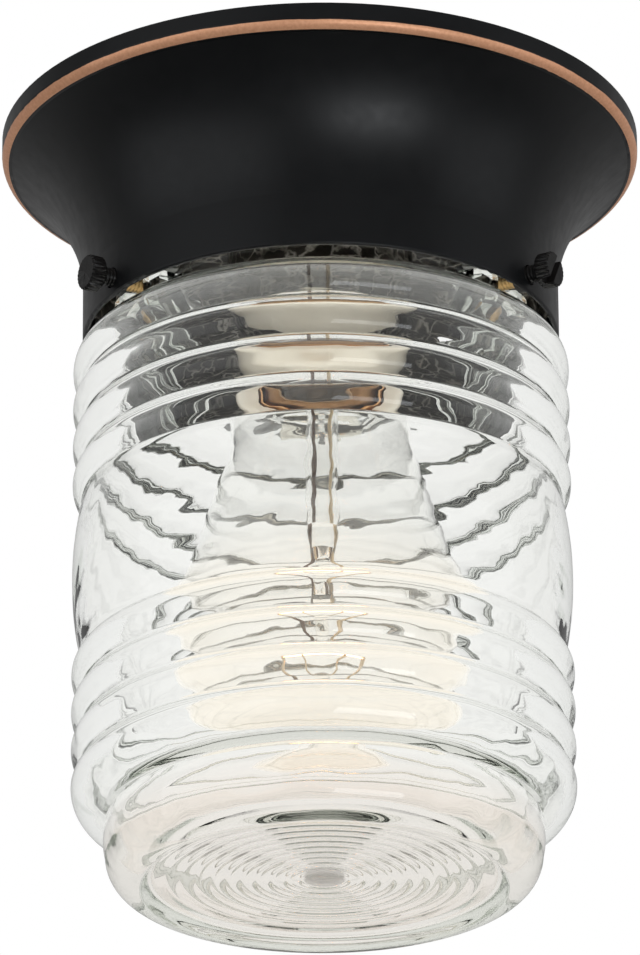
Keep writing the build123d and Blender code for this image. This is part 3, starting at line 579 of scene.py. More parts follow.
def make_wire():
    material, tree, sockets, spot = new_finish("lamp_wire", Metallic=1.0)
    split = node(tree, "ShaderNodeSeparateXYZ", {0: spot}).outputs
    bright = ramp(tree, split["Z"], WIRE_DARK_END * MM, WIRE_BRIGHT * MM)
    worn = speckle(tree, spot, 0.8)
    right = calc(tree, "GREATER_THAN", split["X"], 0)
    sealed = blend(tree, right, blend(tree, worn, *LEFT_LEAD_TONES), COPPER_LEAD)
    tree.links.new(blend(tree, bright, sealed, BRIGHT_LEAD), sockets["Base Color"])
    tree.links.new(spread(tree, worn, *WIRE_ROUGHNESS), sockets["Roughness"])
    return material


wire = make_wire()
print("finish", wire.name)

# %% Lamp cap
CEMENT_TONES = (0.2, 0.11, 0.055, 1), (0.36, 0.22, 0.12, 1)


def make_cap_metal():
    """A bare metal, with cement where the zone is 1."""
    material = make_metal("lamp_cap", (0.56, 0.36, 0.21, 1), (0.72, 0.5, 0.31, 1), 0.3, 0.45)
    tree = material.node_tree
    sockets = tree.nodes["Principled BSDF"].inputs
    spot = node(tree, "ShaderNodeTexCoord").outputs["Object"]
    inside = node(tree, "ShaderNodeAttribute", attribute_name="zone").outputs["Fac"]
    cement = blend(tree, speckle(tree, spot, 1.5), *CEMENT_TONES)
    metal = sockets["Base Color"].links[0].from_socket
    tree.links.new(blend(tree, inside, metal, cement), sockets["Base Color"])
    tree.links.new(calc(tree, "SUBTRACT", 1, inside), sockets["Metallic"])
    return material


cap_metal = make_cap_metal()
print("finish", cap_metal.name)

# %% [markdown]
# ### Painted shade with scuffs
# The plate and the sleeve round the porcelain are black as painted shade: it stands for the unlit inside
# of the canopy, and the sleeve is a dark sheet where there is only shade. Below, where the glass shows
# them, handling has scuffed the black into a web of pale lines. Cells, bent by a noise, have edges that run
# like that, and a second noise leaves only patches of them.

# %% Painted shade with scuffs
SCUFF_SIZE = 5.0
SCUFF_WIDTH = 0.09
SCUFF_RELIEF = 0.6
SCUFF_PATCHES = 0.35, 0.6
SCUFF_ROUGHNESS = 0.4, 0.6
SCUFF_BELOW = 0.3, 0.7
SCUFF_TONE = (0.5, 0.47, 0.42, 1)
# Painted shade: these near-black tones stand for the unlit inside of the canopy.
PAINTED_SHADE_TONES = (0.012, 0.01, 0.008, 1), (0.05, 0.043, 0.036, 1)


def make_scuffs_on_painted_shade():
    """Black painted shade for the unlit inside, with scuffs below the plate's top face."""
    material, tree, sockets, spot = new_finish("scuffs_on_painted_shade", Specular_IOR_Level=0.25)
    scale = {0: spot, "Scale": 1 / (SCUFF_SIZE * MM)}
    even = node(tree, "ShaderNodeVectorMath", scale, operation="SCALE").outputs[0]
    swirl = node(tree, "ShaderNodeTexNoise", {"Vector": even, "Scale": 1.3, "Detail": 3.0}).outputs["Color"]
    bent = node(tree, "ShaderNodeVectorMath", {0: even, 1: swirl}, operation="ADD").outputs[0]
    cells = node(tree, "ShaderNodeTexVoronoi", {"Vector": bent, "Scale": 1.0}, feature="DISTANCE_TO_EDGE")
    scuff = ramp(tree, cells.outputs["Distance"], SCUFF_WIDTH, 0.0)
    patchy = calc(tree, "MULTIPLY", scuff, ramp(tree, speckle(tree, spot, 7.0), *SCUFF_PATCHES))
    start, end = (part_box("socket_plate")[1].z - below * MM for below in SCUFF_BELOW)
    height = node(tree, "ShaderNodeSeparateXYZ", {0: spot}).outputs["Z"]
    patchy = calc(tree, "MULTIPLY", patchy, ramp(tree, height, start, end))
    dark = blend(tree, speckle(tree, spot, 2.0), *PAINTED_SHADE_TONES)
    tree.links.new(blend(tree, patchy, dark, SCUFF_TONE), sockets["Base Color"])
    tree.links.new(ramp(tree, patchy, 0, 1, *SCUFF_ROUGHNESS), sockets["Roughness"])
    grain = node(tree, "ShaderNodeTexNoise", {"Vector": bent, "Scale": 1.0, "Detail": 3.0}).outputs[0]
    relief(tree, sockets, grain, SCUFF_RELIEF)
    return material


scuffs_on_painted_shade = make_scuffs_on_painted_shade()
print("finish", scuffs_on_painted_shade.name)

# %% [markdown]
# ### Paint, dark glass and the hot filament
# The ground screw is painted green, and the lamp's insulator is black glass. Both are one colour in two
# tones under a thin gloss. The filament gives light: it is hottest in the middle of its span, and its wires
# cool its ends.

# %% Paint, dark glass and the glowing filament
FILAMENT_GLOW = 8.0
HOT_HALF, COOL_HALF = 5.0, 9.5
END_COOLING = 0.7
FLICKER = 0.3
HEAT_TONES = (1.0, 0.72, 0.4, 1), (1.0, 0.4, 0.12, 1)


def make_paint(name, low, high, smooth, rough):
    material, tree, sockets, spot = new_finish(name, Coat_Weight=0.3, Coat_Roughness=0.15)
    cloud = speckle(tree, spot, 1.6)
    tree.links.new(blend(tree, cloud, low, high), sockets["Base Color"])
    tree.links.new(spread(tree, cloud, smooth, rough), sockets["Roughness"])
    relief(tree, sockets, speckle(tree, spot, 0.5, 2.0), 0.01)
    return material


def make_glow():
    """The hot filament: white-yellow in the middle of its span and more orange where its wires cool it."""
    material, tree, sockets, spot = new_finish("filament", Roughness=0.6, Emission_Strength=FILAMENT_GLOW)
    x = node(tree, "ShaderNodeSeparateXYZ", {0: spot}).outputs["X"]
    aside = ramp(tree, calc(tree, "ABSOLUTE", x), HOT_HALF * MM, COOL_HALF * MM)
    flicker = calc(tree, "MULTIPLY", speckle(tree, spot, 0.4), FLICKER)
    cool = calc(tree, "ADD", calc(tree, "MULTIPLY", aside, END_COOLING), flicker)
    heat = blend(tree, cool, *HEAT_TONES)
    tree.links.new(heat, sockets["Base Color"])
    tree.links.new(heat, sockets["Emission Color"])
    return material


green_paint = make_paint("green_ground", (0.03, 0.2, 0.07, 1), (0.05, 0.28, 0.1, 1), 0.25, 0.4)
dark_insulator = make_paint("lamp_insulator", (0.012, 0.012, 0.014, 1), (0.03, 0.03, 0.034, 1), 0.1, 0.25)
filament_glow = make_glow()
print("finish", green_paint.name, dark_insulator.name, filament_glow.name)

# %% [markdown]
# ## The glass jar
# The jar is the heart of the light: a neck with a bead that the thumbscrews hold, a square shoulder, upper
# ribs, a plain barrel, lower ribs, and a narrower cup whose bottom is pressed with fine rings. It could be
# sculpted, but it is a moulded, round thing, so it is drawn as one half section, outside and inside, and
# turned. The inner wall is then waved, since a plunger and blown air never leave it even, and the pairs of
# lugs beside each thumbscrew are raised from the neck.

# %% Sizes of the jar
jar_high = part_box("glass_jar")[1]
JAR_R = jar_high.x / MM
NECK_TOP = -jar_high.z / MM
COLLAR_END = -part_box("canopy")[0].z / MM
JAR_WALL = 3.5
NECK_R = 41.3
BEAD_PROUD = 0.7
BEAD_H = 3.0
NECK_FILLET = 1.0
NECK_ROOT = 1.5
NECK_LIP = 0.4
SHOULDER = COLLAR_END + 1.8
LUG_R = 46.8
LUG_TOP = SHOULDER - 5.4
LUG_STEP = 0.4
LUG_NEAR = 3.0
LUG_W = 7.4
UPPER_RIBS = 4
UPPER_PITCH = 8.86
LOWER_RIBS = 4
LOWER_PITCH = 8.56
RIB_SAG = 2.0
VALLEY_ROUND = 0.6
INNER_RIB_SAG = 0.8
BARREL_H = 35.6
BARREL_SAG = 2.0
INNER_BARREL_SAG = 1.7
SHOULDER_ROUND = 7.4
CUP_SWELL = 0.5
CUP_SIDE_H = 7.8
HEEL_H = 7.0
FOOT_DROP = 2.0
FOOT_RUN = 3.0
FOOT_STEPS = 10
RING_PITCH = 3.2
RING_SAG = 0.15
BUTTON_R = 4.55
BUTTON_SAG = 0.5
BOTTOM_WALL = 3.4
CUP_INNER_ROUND = 6.0
SHOULDER_WALL = 3.0
SHOULDER_CORNER = 0.8
CUP_STEP_ROUND = 2.0
BARREL_WAVE, LOWER_WAVE, CUP_WAVE = 0.3, 1.2, 2.0
THUMB_ANGLES = {"thumbscrew_front_right": -30, "thumbscrew_back": 90, "thumbscrew_front_left": 210}
print("jar", round(2 * JAR_R, 1), "mm across")

# %% Places down the jar
rib_round = ((UPPER_PITCH / 2) ** 2 + RIB_SAG ** 2) / (2 * RIB_SAG)
upper_first = SHOULDER + rib_round
upper_end = upper_first + (UPPER_RIBS - 0.5) * UPPER_PITCH
lower_start = upper_end + BARREL_H
lower_last = lower_start + (LOWER_RIBS - 0.5) * LOWER_PITCH
crease_r = JAR_R - SHOULDER_ROUND
crease = lower_last + SHOULDER_ROUND
heel = crease + CUP_SIDE_H
foot_r = crease_r - HEEL_H
foot = heel + HEEL_H
panel = foot - FOOT_DROP
print("ribs from", round(SHOULDER, 2), "mm, foot at", round(foot, 2), "mm")

# %% [markdown]
# ### The outside, rib by rib
# The mould's ribs are rounds, joined by small fillets in the valleys. Half a rib, from its crest to the
# valley, is drawn once. Its mirror gives the other half, and copies of both give a run of ribs, so that a
# change of pitch or sag moves them all together, as it would not if every point were written down.


# %% A run of ribs
def half_rib(crest, pitch):
    """A rib's round from its crest down to the middle of the filleted valley below it."""
    reach = ((pitch / 2) ** 2 + RIB_SAG ** 2) / (2 * RIB_SAG)
    swing = degrees(asin(pitch / 2 / reach))
    r = reach - VALLEY_ROUND
    valley = (JAR_R - RIB_SAG + VALLEY_ROUND, crest + pitch / 2)
    return arc((JAR_R - r, crest), r, 0, swing, 6) + arc(valley, VALLEY_ROUND, 180 + swing, 180, 4)


def flipped(points, level):
    """The same points, mirrored to the other side of a level and in the other order."""
    return [(r, 2 * level - depth) for r, depth in reversed(points)]


def ribs(first, count, pitch):
    """A run of ribs, from valley to valley."""
    points = []
    for k in range(count):
        lower = half_rib(first + k * pitch, pitch)
        points += flipped(lower, first + k * pitch) + lower
    return points


print("one rib", 2 * len(half_rib(0, UPPER_PITCH)), "points")


# %% The outside of the jar
def jar_outside():
    valley_r = JAR_R - RIB_SAG
    bead_end = NECK_TOP + BEAD_H
    fillet = (NECK_R + NECK_FILLET, SHOULDER - NECK_FILLET)
    neck = [(NECK_R, bead_end), (NECK_R, LUG_TOP - LUG_STEP)]
    root = [(NECK_R, LUG_TOP)] + arc(fillet, NECK_FILLET, 180, 90, 6)
    ledge = run((fillet[0], SHOULDER), (JAR_R - rib_round, SHOULDER), 4)
    upper = arc((JAR_R - rib_round, upper_first), rib_round, -90, 0, 12)
    upper += half_rib(upper_first, UPPER_PITCH)
    upper += ribs(upper_first + UPPER_PITCH, UPPER_RIBS - 1, UPPER_PITCH)
    barrel = crown((valley_r, upper_end), (valley_r, lower_start), BARREL_SAG, 28)
    lower = ribs(lower_start + LOWER_PITCH / 2, LOWER_RIBS - 1, LOWER_PITCH)
    lower += flipped(half_rib(lower_last, LOWER_PITCH), lower_last)
    lower += arc((crease_r, lower_last), SHOULDER_ROUND, 0, 90, 14)
    cup = crown((crease_r, crease), (crease_r, heel), CUP_SWELL, 8) + arc((foot_r, heel), HEEL_H, 0, 90, 14)
    bead = crown((NECK_R, NECK_TOP), (NECK_R, bead_end), BEAD_PROUD, 8)
    points = marked(bead + neck, 0) + marked(root + ledge, 0, 1)
    return points + marked(upper, 0) + marked(barrel, BARREL_WAVE) + marked(lower + cup, 0)


# %% The bottom of the jar
def jar_underside():
    """The foot, the pressed rings of the bottom panel and the button at its middle."""
    panel_r = foot_r - FOOT_RUN
    count = round((panel_r - BUTTON_R) / RING_PITCH)
    step = (panel_r - BUTTON_R) / count
    slope = [k / FOOT_STEPS for k in range(FOOT_STEPS + 1)]
    points = [(foot_r - t * FOOT_RUN, panel + FOOT_DROP * (1 + cos(pi * t)) / 2) for t in slope]
    for k in range(count):
        r = panel_r - k * step
        points += crown((r, panel), (r - step, panel), RING_SAG, 6)
    lens = (BUTTON_R ** 2 + BUTTON_SAG ** 2) / (2 * BUTTON_SAG)
    lean = degrees(asin(BUTTON_R / lens))
    return marked(points + arc((0, panel + BUTTON_SAG - lens), lens, 90 - lean, 90, 5), 0)


jar_outer = jar_outside() + jar_underside()
print("outside of the jar", len(jar_outer), "points")

# %% [markdown]
# ### The inside
# Inside the ribs the wall follows them only softly. A cosine of the same pitch gives that echo. The glass
# is then thicker in the ribs than between them, which is what bends the view of the lamp into bands.


# %% The inside of the jar
def swells(crest_r, valley, pitch, start, end):
    """The soft echo of the ribs inside, from one place to another, counted in pitches from a valley."""
    steps = round(abs(end - start) * 10)
    turns = [start + (end - start) * k / steps for k in range(steps + 1)]
    return [(crest_r - INNER_RIB_SAG * (1 + cos(2 * pi * t)) / 2, valley + t * pitch) for t in turns]


def jar_inside():
    inner_r = JAR_R - JAR_WALL
    valley_r = inner_r - INNER_RIB_SAG
    bottom = panel - BOTTOM_WALL
    cup_r = crease_r - JAR_WALL
    step_end = (cup_r + CUP_STEP_ROUND, crease - JAR_WALL + CUP_STEP_ROUND)
    corner = (cup_r - CUP_INNER_ROUND, bottom - CUP_INNER_ROUND)
    under = SHOULDER + SHOULDER_WALL
    edge = (inner_r - SHOULDER_CORNER, under + SHOULDER_CORNER)
    root = (NECK_R - JAR_WALL + NECK_ROOT, under - NECK_ROOT)
    bottom_line = run((0, bottom), (corner[0], bottom), 8)
    cup = arc(corner, CUP_INNER_ROUND, 90, 0, 6) + arc(step_end, CUP_STEP_ROUND, 180, 270, 5)
    cup += arc((crease_r, lower_last), SHOULDER_ROUND - JAR_WALL, 90, 0, 8)
    lower = reversed(swells(inner_r, lower_start, LOWER_PITCH, 0, LOWER_RIBS - 0.5))
    barrel = crown((valley_r, upper_end), (valley_r, lower_start), INNER_BARREL_SAG, 40)
    upper = swells(inner_r, upper_end, UPPER_PITCH, 0, 0.5 - UPPER_RIBS)
    upper += arc(edge, SHOULDER_CORNER, 0, -90, 6)
    bore_r = NECK_R - JAR_WALL
    neck = arc(root, NECK_ROOT, 90, 180, 8)
    neck += [(bore_r, NECK_TOP + NECK_LIP), (bore_r + NECK_LIP, NECK_TOP), (NECK_R, NECK_TOP)]
    points = marked(bottom_line, 0) + marked(cup, CUP_WAVE) + marked(lower, LOWER_WAVE)
    return points + marked([*reversed(barrel), *upper], 1) + marked(neck, 0)


jar_inner = jar_inside()
print("inside of the jar", len(jar_inner), "points")

# %% [markdown]
# ### Turned and waved
# Every flat shows in glass, so the section is turned in many small steps. The waves are long and shallow
# with a fine ripple on them. A bump map could bend the light as well, but real waves also change the
# thickness of the wall, which colours the glass.

# %% Turn and wave the jar
JAR_STEPS = 204
WAVE_DEPTH = 0.5
WAVE_LENGTH = 16.0
RIPPLE_DEPTH = 0.16
RIPPLE_LENGTH = 3.6
WAVE_FLATNESS = 1.4
waves = {
    "Depth": WAVE_DEPTH * MM,
    "Length": WAVE_LENGTH * MM,
    "Ripple Depth": RIPPLE_DEPTH * MM,
    "Ripple Length": RIPPLE_LENGTH * MM,
    "Flatness": WAVE_FLATNESS,
    "Lug Radius": LUG_R * MM,
    "Lug Near": LUG_NEAR * MM,
    "Lug Far": (LUG_NEAR + LUG_W) * MM,
    "First Angle": radians(THUMB_ANGLES["thumbscrew_front_right"]),
    "Spacing": 2 * pi / len(THUMB_ANGLES),
}
jar = turned("ribbed_jar", jar_outer + jar_inner, JAR_STEPS, jar_glass, (wave_tree, waves))
seat(jar, "glass_jar", "glass_jar")

# %% [markdown]
# ## The thumbscrews
# Three screws with slotted, knurled heads hold the jar. Outside the collar they are dark like the canopy,
# and the ends inside are bare brass. The shank is a turned bar with a cut thread. The head is turned with
# its edges broken, then a tree cuts the flutes of the knurl and the driver slot, which a lathe could not.

# %% The knurling tree
FLUTE_SHARPNESS = 3


def make_knurl_tree():
    inputs = {"Flutes": "Float", "Flute Depth": "Float", "Slot Width": "Float", "Slot Depth": "Float",
              "Slot Angle": "Float", "Head Top": "Float", "Finish": "Material"}
    tree, given, result = new_tree("knurl_and_slot", inputs)
    split, flat = around_axis(tree, node(tree, "GeometryNodeInputPosition").outputs[0])
    half_turn = calc(tree, "DIVIDE", calc(tree, "ARCTAN2", split["Y"], split["X"]), 2)
    wave = calc(tree, "COSINE", calc(tree, "MULTIPLY", half_turn, given["Flutes"]))
    hollow = calc(tree, "POWER", calc(tree, "ABSOLUTE", wave), FLUTE_SHARPNESS)
    depth = calc(tree, "MULTIPLY", calc(tree, "MULTIPLY", hollow, given["Flute Depth"]), named(tree, "mark"))
    knurled = pushed(tree, given["Geometry"], flat, calc(tree, "MULTIPLY", depth, -1))
    long = calc(tree, "MULTIPLY", given["Head Top"], 2)
    deep = calc(tree, "MULTIPLY", given["Slot Depth"], 2)
    size = node(tree, "ShaderNodeCombineXYZ", {"X": given["Slot Width"], "Y": long, "Z": deep}).outputs[0]
    blade = node(tree, "GeometryNodeMeshCube", {"Size": size}).outputs["Mesh"]
    lift = node(tree, "ShaderNodeCombineXYZ", {"Z": given["Head Top"]}).outputs[0]
    spin = node(tree, "ShaderNodeCombineXYZ", {"Z": given["Slot Angle"]}).outputs[0]
    blade = node(tree, "GeometryNodeTransform", {"Geometry": blade, "Translation": lift, "Rotation": spin})
    cut = node(tree, "GeometryNodeMeshBoolean", operation="DIFFERENCE")
    tree.links.new(knurled, cut.inputs["Mesh 1"])
    tree.links.new(blade.outputs[0], cut.inputs["Mesh 2"])
    finish_tree(tree, cut.outputs[0], given["Finish"], result)
    return tree


knurl_tree = make_knurl_tree()
print("tree", knurl_tree.name, len(knurl_tree.nodes), "nodes")


# %% The thumbscrew's finish
BARE_FROM, BARE_TO = 51.1, 50.3
PLATED_TONES = (0.002, 0.002, 0.002, 1), (0.006, 0.005, 0.0045, 1)
BARE_TONES = (0.5, 0.3, 0.11, 1), (0.78, 0.56, 0.27, 1)
THUMB_ROUGHNESS = 0.3, 0.42


def make_thumb_finish():
    """Dark plating outside the collar, and bare brass on the end inside it."""
    material, tree, sockets, spot = new_finish("thumbscrew_bronze")
    flat = around_axis(tree, spot)[1]
    bare = ramp(tree, length(tree, flat), BARE_FROM * MM, BARE_TO * MM)
    worn = speckle(tree, spot, 0.6)
    dark = blend(tree, worn, *PLATED_TONES)
    gold = blend(tree, worn, *BARE_TONES)
    tree.links.new(blend(tree, bare, dark, gold), sockets["Base Color"])
    tree.links.new(bare, sockets["Metallic"])
    tree.links.new(spread(tree, worn, *THUMB_ROUGHNESS), sockets["Roughness"])
    return material


thumb_finish = make_thumb_finish()
print("finish", thumb_finish.name)

# %% Sizes of the thumbscrews
THUMB_R = 2.08
THUMB_PITCH = 0.794
THUMB_CUT = 0.22
THUMB_SHARPNESS = 0.75
THUMB_CHAMFER = 0.5
THREAD_START, THREAD_END = 0.1, 0.5
SHANK_ROWS = 130
THUMB_TIP_R = 42.3
THUMB_SHANK = 12.7
THUMB_HEAD_R = 3.9
THUMB_HEAD_L = 3.4
THUMB_SINK = 0.1
THUMB_EDGE = 0.35
EDGE_KNURL = 0.5
THUMB_FLUTES = 24
FLUTE_DEPTH = 0.3
FLUTE_STEPS = 8
SHANK_STEPS = 40
SLOT_W = 1.7
SLOT_DEPTH = 2.0
THUMB_DEPTH = COLLAR_END - 4.2
SLOT_ANGLES = {"thumbscrew_front_right": 61, "thumbscrew_back": 20, "thumbscrew_front_left": -37}
print("thumbscrew", THUMB_SHANK + THUMB_HEAD_L, "mm long, at", round(THUMB_DEPTH, 2), "mm")


# %% Sections of the thumbscrews
def upright(points):
    """A section along the screw's own axis: heights count up from its tip."""
    return [(p[0], -p[1]) + tuple(p[2:]) for p in points]


def thumb_shank():
    core = THUMB_R - THUMB_CUT / 2
    end = THUMB_SHANK + THUMB_SINK
    cone = [(0, 0), (core - THUMB_CHAMFER, 0), (core, THUMB_CHAMFER)]
    thread = run((core, THUMB_CHAMFER + THREAD_START), (core, THUMB_SHANK - THREAD_END), SHANK_ROWS)
    return upright(marked(cone, 0) + marked(thread, 1) + marked([(core, end), (0, end)], 0))


def thumb_head():
    low, high = THUMB_SHANK, THUMB_SHANK + THUMB_HEAD_L
    side = THUMB_HEAD_R - THUMB_EDGE
    under, top = [(0, low), (side, low)], [(side, high), (0, high)]
    edge = [(THUMB_HEAD_R, low + THUMB_EDGE), (THUMB_HEAD_R, high - THUMB_EDGE)]
    return upright(marked(under, EDGE_KNURL) + marked(edge, 1) + marked(top, EDGE_KNURL))


print("sections", len(thumb_shank()), "and", len(thumb_head()), "points")


# %% Make the thumbscrews
def join(name, pieces):
    """One mesh from several finished pieces."""
    work = bmesh.new()
    for piece in pieces:
        work.from_mesh(piece.data)
    mesh = pieces[0].data.copy()
    work.to_mesh(mesh)
    work.free()
    whole = bpy.data.objects.new(name, mesh)
    bpy.context.scene.collection.objects.link(whole)
    for piece in pieces:
        bpy.data.objects.remove(piece)
    return whole


def outward(angle, r, depth):
    """The frame of a screw whose axis points away from the light's axis."""
    way = Vector((cos(radians(angle)), sin(radians(angle)), 0))
    up = Vector((0, 0, 1))
    turn = Matrix((up, way.cross(up), way)).transposed().to_4x4()
    return Matrix.Translation(way * r * MM + Vector((0, 0, -depth * MM))) @ turn


for name, angle in THUMB_ANGLES.items():
    cut = {"Depth": THUMB_CUT / 2 * MM, "Pitch": THUMB_PITCH * MM, "Sharpness": THUMB_SHARPNESS}
    shank = turned(name + "_shank", thumb_shank(), SHANK_STEPS, thumb_finish, (thread_tree, cut))
    knurl = {"Flutes": THUMB_FLUTES, "Flute Depth": FLUTE_DEPTH * MM, "Slot Width": SLOT_W * MM,
             "Slot Depth": SLOT_DEPTH * MM, "Slot Angle": radians(SLOT_ANGLES[name]),
             "Head Top": (THUMB_SHANK + THUMB_HEAD_L) * MM}
    head_steps = THUMB_FLUTES * FLUTE_STEPS
    head = turned(name + "_head", thumb_head(), head_steps, thumb_finish, (knurl_tree, knurl))
    screw = join(name + "_screw", [shank, head])
    screw.data.transform(outward(angle, THUMB_TIP_R, THUMB_DEPTH))
    seat(screw, name, name)

# %% [markdown]
# ## The lampholder's screw shell
# A thin brass shell with a rolled thread lines the porcelain. The frame keeps a plain wall there. The
# finished shell has the true helix, which shows as slanting lines when the lamp is out and the shell is
# seen from below.

# %% Turn the screw shell
SOCKET_MOUTH = -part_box("socket_body")[0].z / MM
CAP_PITCH = 3.63
CAP_TURNS = 5
CAP_THREAD = 0.4
CAP_R = 12.75
SHELL_R = 13.9
SHELL_WALL = 0.4
SHELL_FLOOR = SOCKET_MOUTH - 22.5
SHELL_HOLE_R = 7.5
SHELL_PLAIN = 1.0
SHELL_LIP = 1.0
SHELL_EDGE = 0.2
THREAD_ROWS = 12
ROUND_STEPS = 96


def threaded(r, start, end):
    """A wall whose thread fades in and out over half a turn at its ends."""
    points = run((r, start), (r, end), CAP_TURNS * THREAD_ROWS)
    fade = CAP_PITCH / 2
    return [(p[0], p[1], min(1, (p[1] - start) / fade, (end - p[1]) / fade)) for p in points]


def shell_section():
    start = SHELL_FLOOR + SHELL_PLAIN
    end = start + CAP_TURNS * CAP_PITCH + SHELL_PLAIN
    lip = SOCKET_MOUTH + SHELL_LIP
    outer = SHELL_R + SHELL_WALL
    under = SHELL_FLOOR + SHELL_WALL
    top = [(SHELL_HOLE_R, under), (SHELL_HOLE_R, SHELL_FLOOR), (outer, SHELL_FLOOR)]
    rim = [(outer, lip - SHELL_EDGE), (outer - SHELL_EDGE, lip), (SHELL_R, lip)]
    inside = list(reversed(threaded(SHELL_R, start, end)))
    back = [(SHELL_R, under), (SHELL_HOLE_R, under)]
    return marked(top, 0) + threaded(outer, start, end) + marked(rim, 0) + inside + marked(back, 0)


rolled = {"Depth": CAP_THREAD * MM, "Pitch": CAP_PITCH * MM, "Sharpness": 0.0}
shell = turned("screw_shell", shell_section(), ROUND_STEPS, brass, (thread_tree, rolled))
seat(shell, "canopy", "socket_screw_shell")

# %% [markdown]
# ## The lamp
# A clear pear-shaped bulb sits on a screw cap. Inside it a glass stem flares from the neck, two lead wires
# leave its pinch and carry a coiled filament, and two thin hooks hold the filament's middle. Round glass
# and metal are turned as before. The wires follow paths, so they are curves with a round bevel.

# %% [markdown]
# ### The bulb
# The bulb is blown, so its outline has no corner: arcs swing out of the cap, back to upright, along the
# hollow neck and round the globe. A sphere pulled into shape would do from afar, but glass needs an inner
# face to bend light as a thin wall does. So the same outline is drawn in by the glass thickness, and both
# are turned as one section.

# %% Turn the bulb
CAP_TOP = -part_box("bulb_cap")[1].z / MM
BULB_TOP = -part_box("bulb_cap")[0].z / MM
TUCK = -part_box("bulb_glass")[1].z / MM
GLOBE_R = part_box("bulb_glass")[1].x / MM
CAP_WALL = 0.4
GLASS_GAP = 0.1
TUCK_R = CAP_R - CAP_WALL - GLASS_GAP
BULB_WALL = 0.8
BULB_STEPS = 112
BULB_NECK_R = 19.2
BULB_NECK = BULB_TOP + 8.0
BULB_NECK_END = BULB_NECK + 3.0
BULB_NECK_ROUND = 26.0
BULB_TAPER = 20.0
EQUATOR = -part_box("bulb_glass")[0].z / MM - GLOBE_R


def bulb_curve(inset):
    """The pear outline, drawn in by a glass thickness."""
    flare = BULB_NECK_R - TUCK_R
    drop = BULB_NECK - BULB_TOP
    swing = 2 * degrees(atan2(flare, drop))
    swing_r = (flare ** 2 + drop ** 2) / (4 * flare)
    points = [(TUCK_R - inset, TUCK)]
    points += arc((TUCK_R + swing_r, BULB_TOP), swing_r + inset, 180, 180 - swing)
    points += arc((BULB_NECK_R - swing_r, BULB_NECK), swing_r - inset, -swing, 0)
    hollow = (BULB_NECK_R + BULB_NECK_ROUND, BULB_NECK_END)
    points += arc(hollow, BULB_NECK_ROUND + inset, 180, 180 - BULB_TAPER)
    return points + arc((0, EQUATOR), GLOBE_R - inset, -BULB_TAPER, 90, 36)


outer_glass = bulb_curve(0)
inner_glass = list(reversed(bulb_curve(BULB_WALL)))
bulb = turned("lamp_bulb", outer_glass + inner_glass + outer_glass[:1], BULB_STEPS, bulb_glass)
seat(bulb, "bulb", "bulb_glass")

# %% [markdown]
# ### The screw cap
# The thread is rolled into thin metal, so it shows inside and outside. The section runs down one face of
# the wall and back up the other, with the same marks on both, and the thread tree moves them together.

# %% Turn the cap
CAP_SKIRT = 0.5
SKIRT_EDGE_W, SKIRT_EDGE_H = 0.2, 0.3


def cap_section():
    """The threaded wall and its skirt. Zone 1 is the inside, which the cement covers."""
    end = CAP_TOP + CAP_TURNS * CAP_PITCH
    skirt_r = CAP_R + CAP_SKIRT
    skirt = [(skirt_r - SKIRT_EDGE_W, BULB_TOP - SKIRT_EDGE_H), (skirt_r, BULB_TOP)]
    outside = threaded(CAP_R, CAP_TOP, end) + marked(skirt, 0)
    inside = marked([(skirt_r - CAP_WALL, BULB_TOP)], 0, 1)
    inside += [p + (1.0,) for p in reversed(threaded(CAP_R - CAP_WALL, CAP_TOP, end))]
    return outside + inside + marked([(CAP_R, CAP_TOP)], 0)


cap = turned("lamp_screw_cap", cap_section(), ROUND_STEPS, cap_metal, (thread_tree, rolled))
seat(cap, "bulb", "bulb_cap")

# %% [markdown]
# ### The stem
# The stem is a glass tube. Its top flares out to the bulb's neck, its end is pinched shut round the wires,
# and a rod with a ball at its end carries the supports. A real pinch is pressed flat. Here it is turned
# like the rest, since behind the ribs it shows only as a thicker end.

# %% Turn the stem
STEM_R = 3.6
STEM_WALL = 0.9
STEM_STEPS = 40
STEM_FLARE_R = TUCK_R - BULB_WALL - GLASS_GAP
STEM_FLARE_END = TUCK + 13.0
FLARE_EASE = 2.2
FLARE_ROWS = 16
PINCH = TUCK + 42.0
PINCH_H = 6.0
PINCH_R = 2.9
PINCH_EDGE_W, PINCH_EDGE_H = 0.5, 0.4
ROD_R = 1.6
ROD_ROOT = 0.6
ROD_END = PINCH + 14.0
ROD_NECK = ROD_END - 1.0
ROD_BALL_R = 1.9
ROD_BALL = ROD_END + 1.4 - ROD_BALL_R


def stem_section():
    """The flare and tube are hollow, and closed by the pinch that grips the wires."""
    flare = []
    for k in range(FLARE_ROWS + 1):
        t = k / FLARE_ROWS
        ease = (1 - t) ** FLARE_EASE
        flare.append((STEM_R + (STEM_FLARE_R - STEM_R) * ease, TUCK + (STEM_FLARE_END - TUCK) * t))
    tube = run((STEM_R, STEM_FLARE_END), (STEM_R, PINCH - PINCH_H), 6)
    hollow = [(r - STEM_WALL, depth) for r, depth in reversed(flare + tube)]
    pinch = [(PINCH_R, PINCH - PINCH_EDGE_H), (PINCH_R - PINCH_EDGE_W, PINCH)]
    rod = run((ROD_R, PINCH + ROD_ROOT), (ROD_R, ROD_NECK), 4) + arc((0, ROD_BALL), ROD_BALL_R, 20, 90, 8)
    return [(0, PINCH - PINCH_H)] + hollow + flare + tube + pinch + rod


stem = turned("lamp_stem", stem_section(), STEM_STEPS, bulb_glass)
seat(stem, "bulb", "bulb_stem")

# %% [markdown]
# ### Wires and filament
# Each lead wire runs down the stem, leaves the pinch, leans outwards and ends in a small hook round the
# filament. The filament itself is a coil: a tree resamples an arc, swings its points round the arc's own
# line and sweeps a thin round along the result.

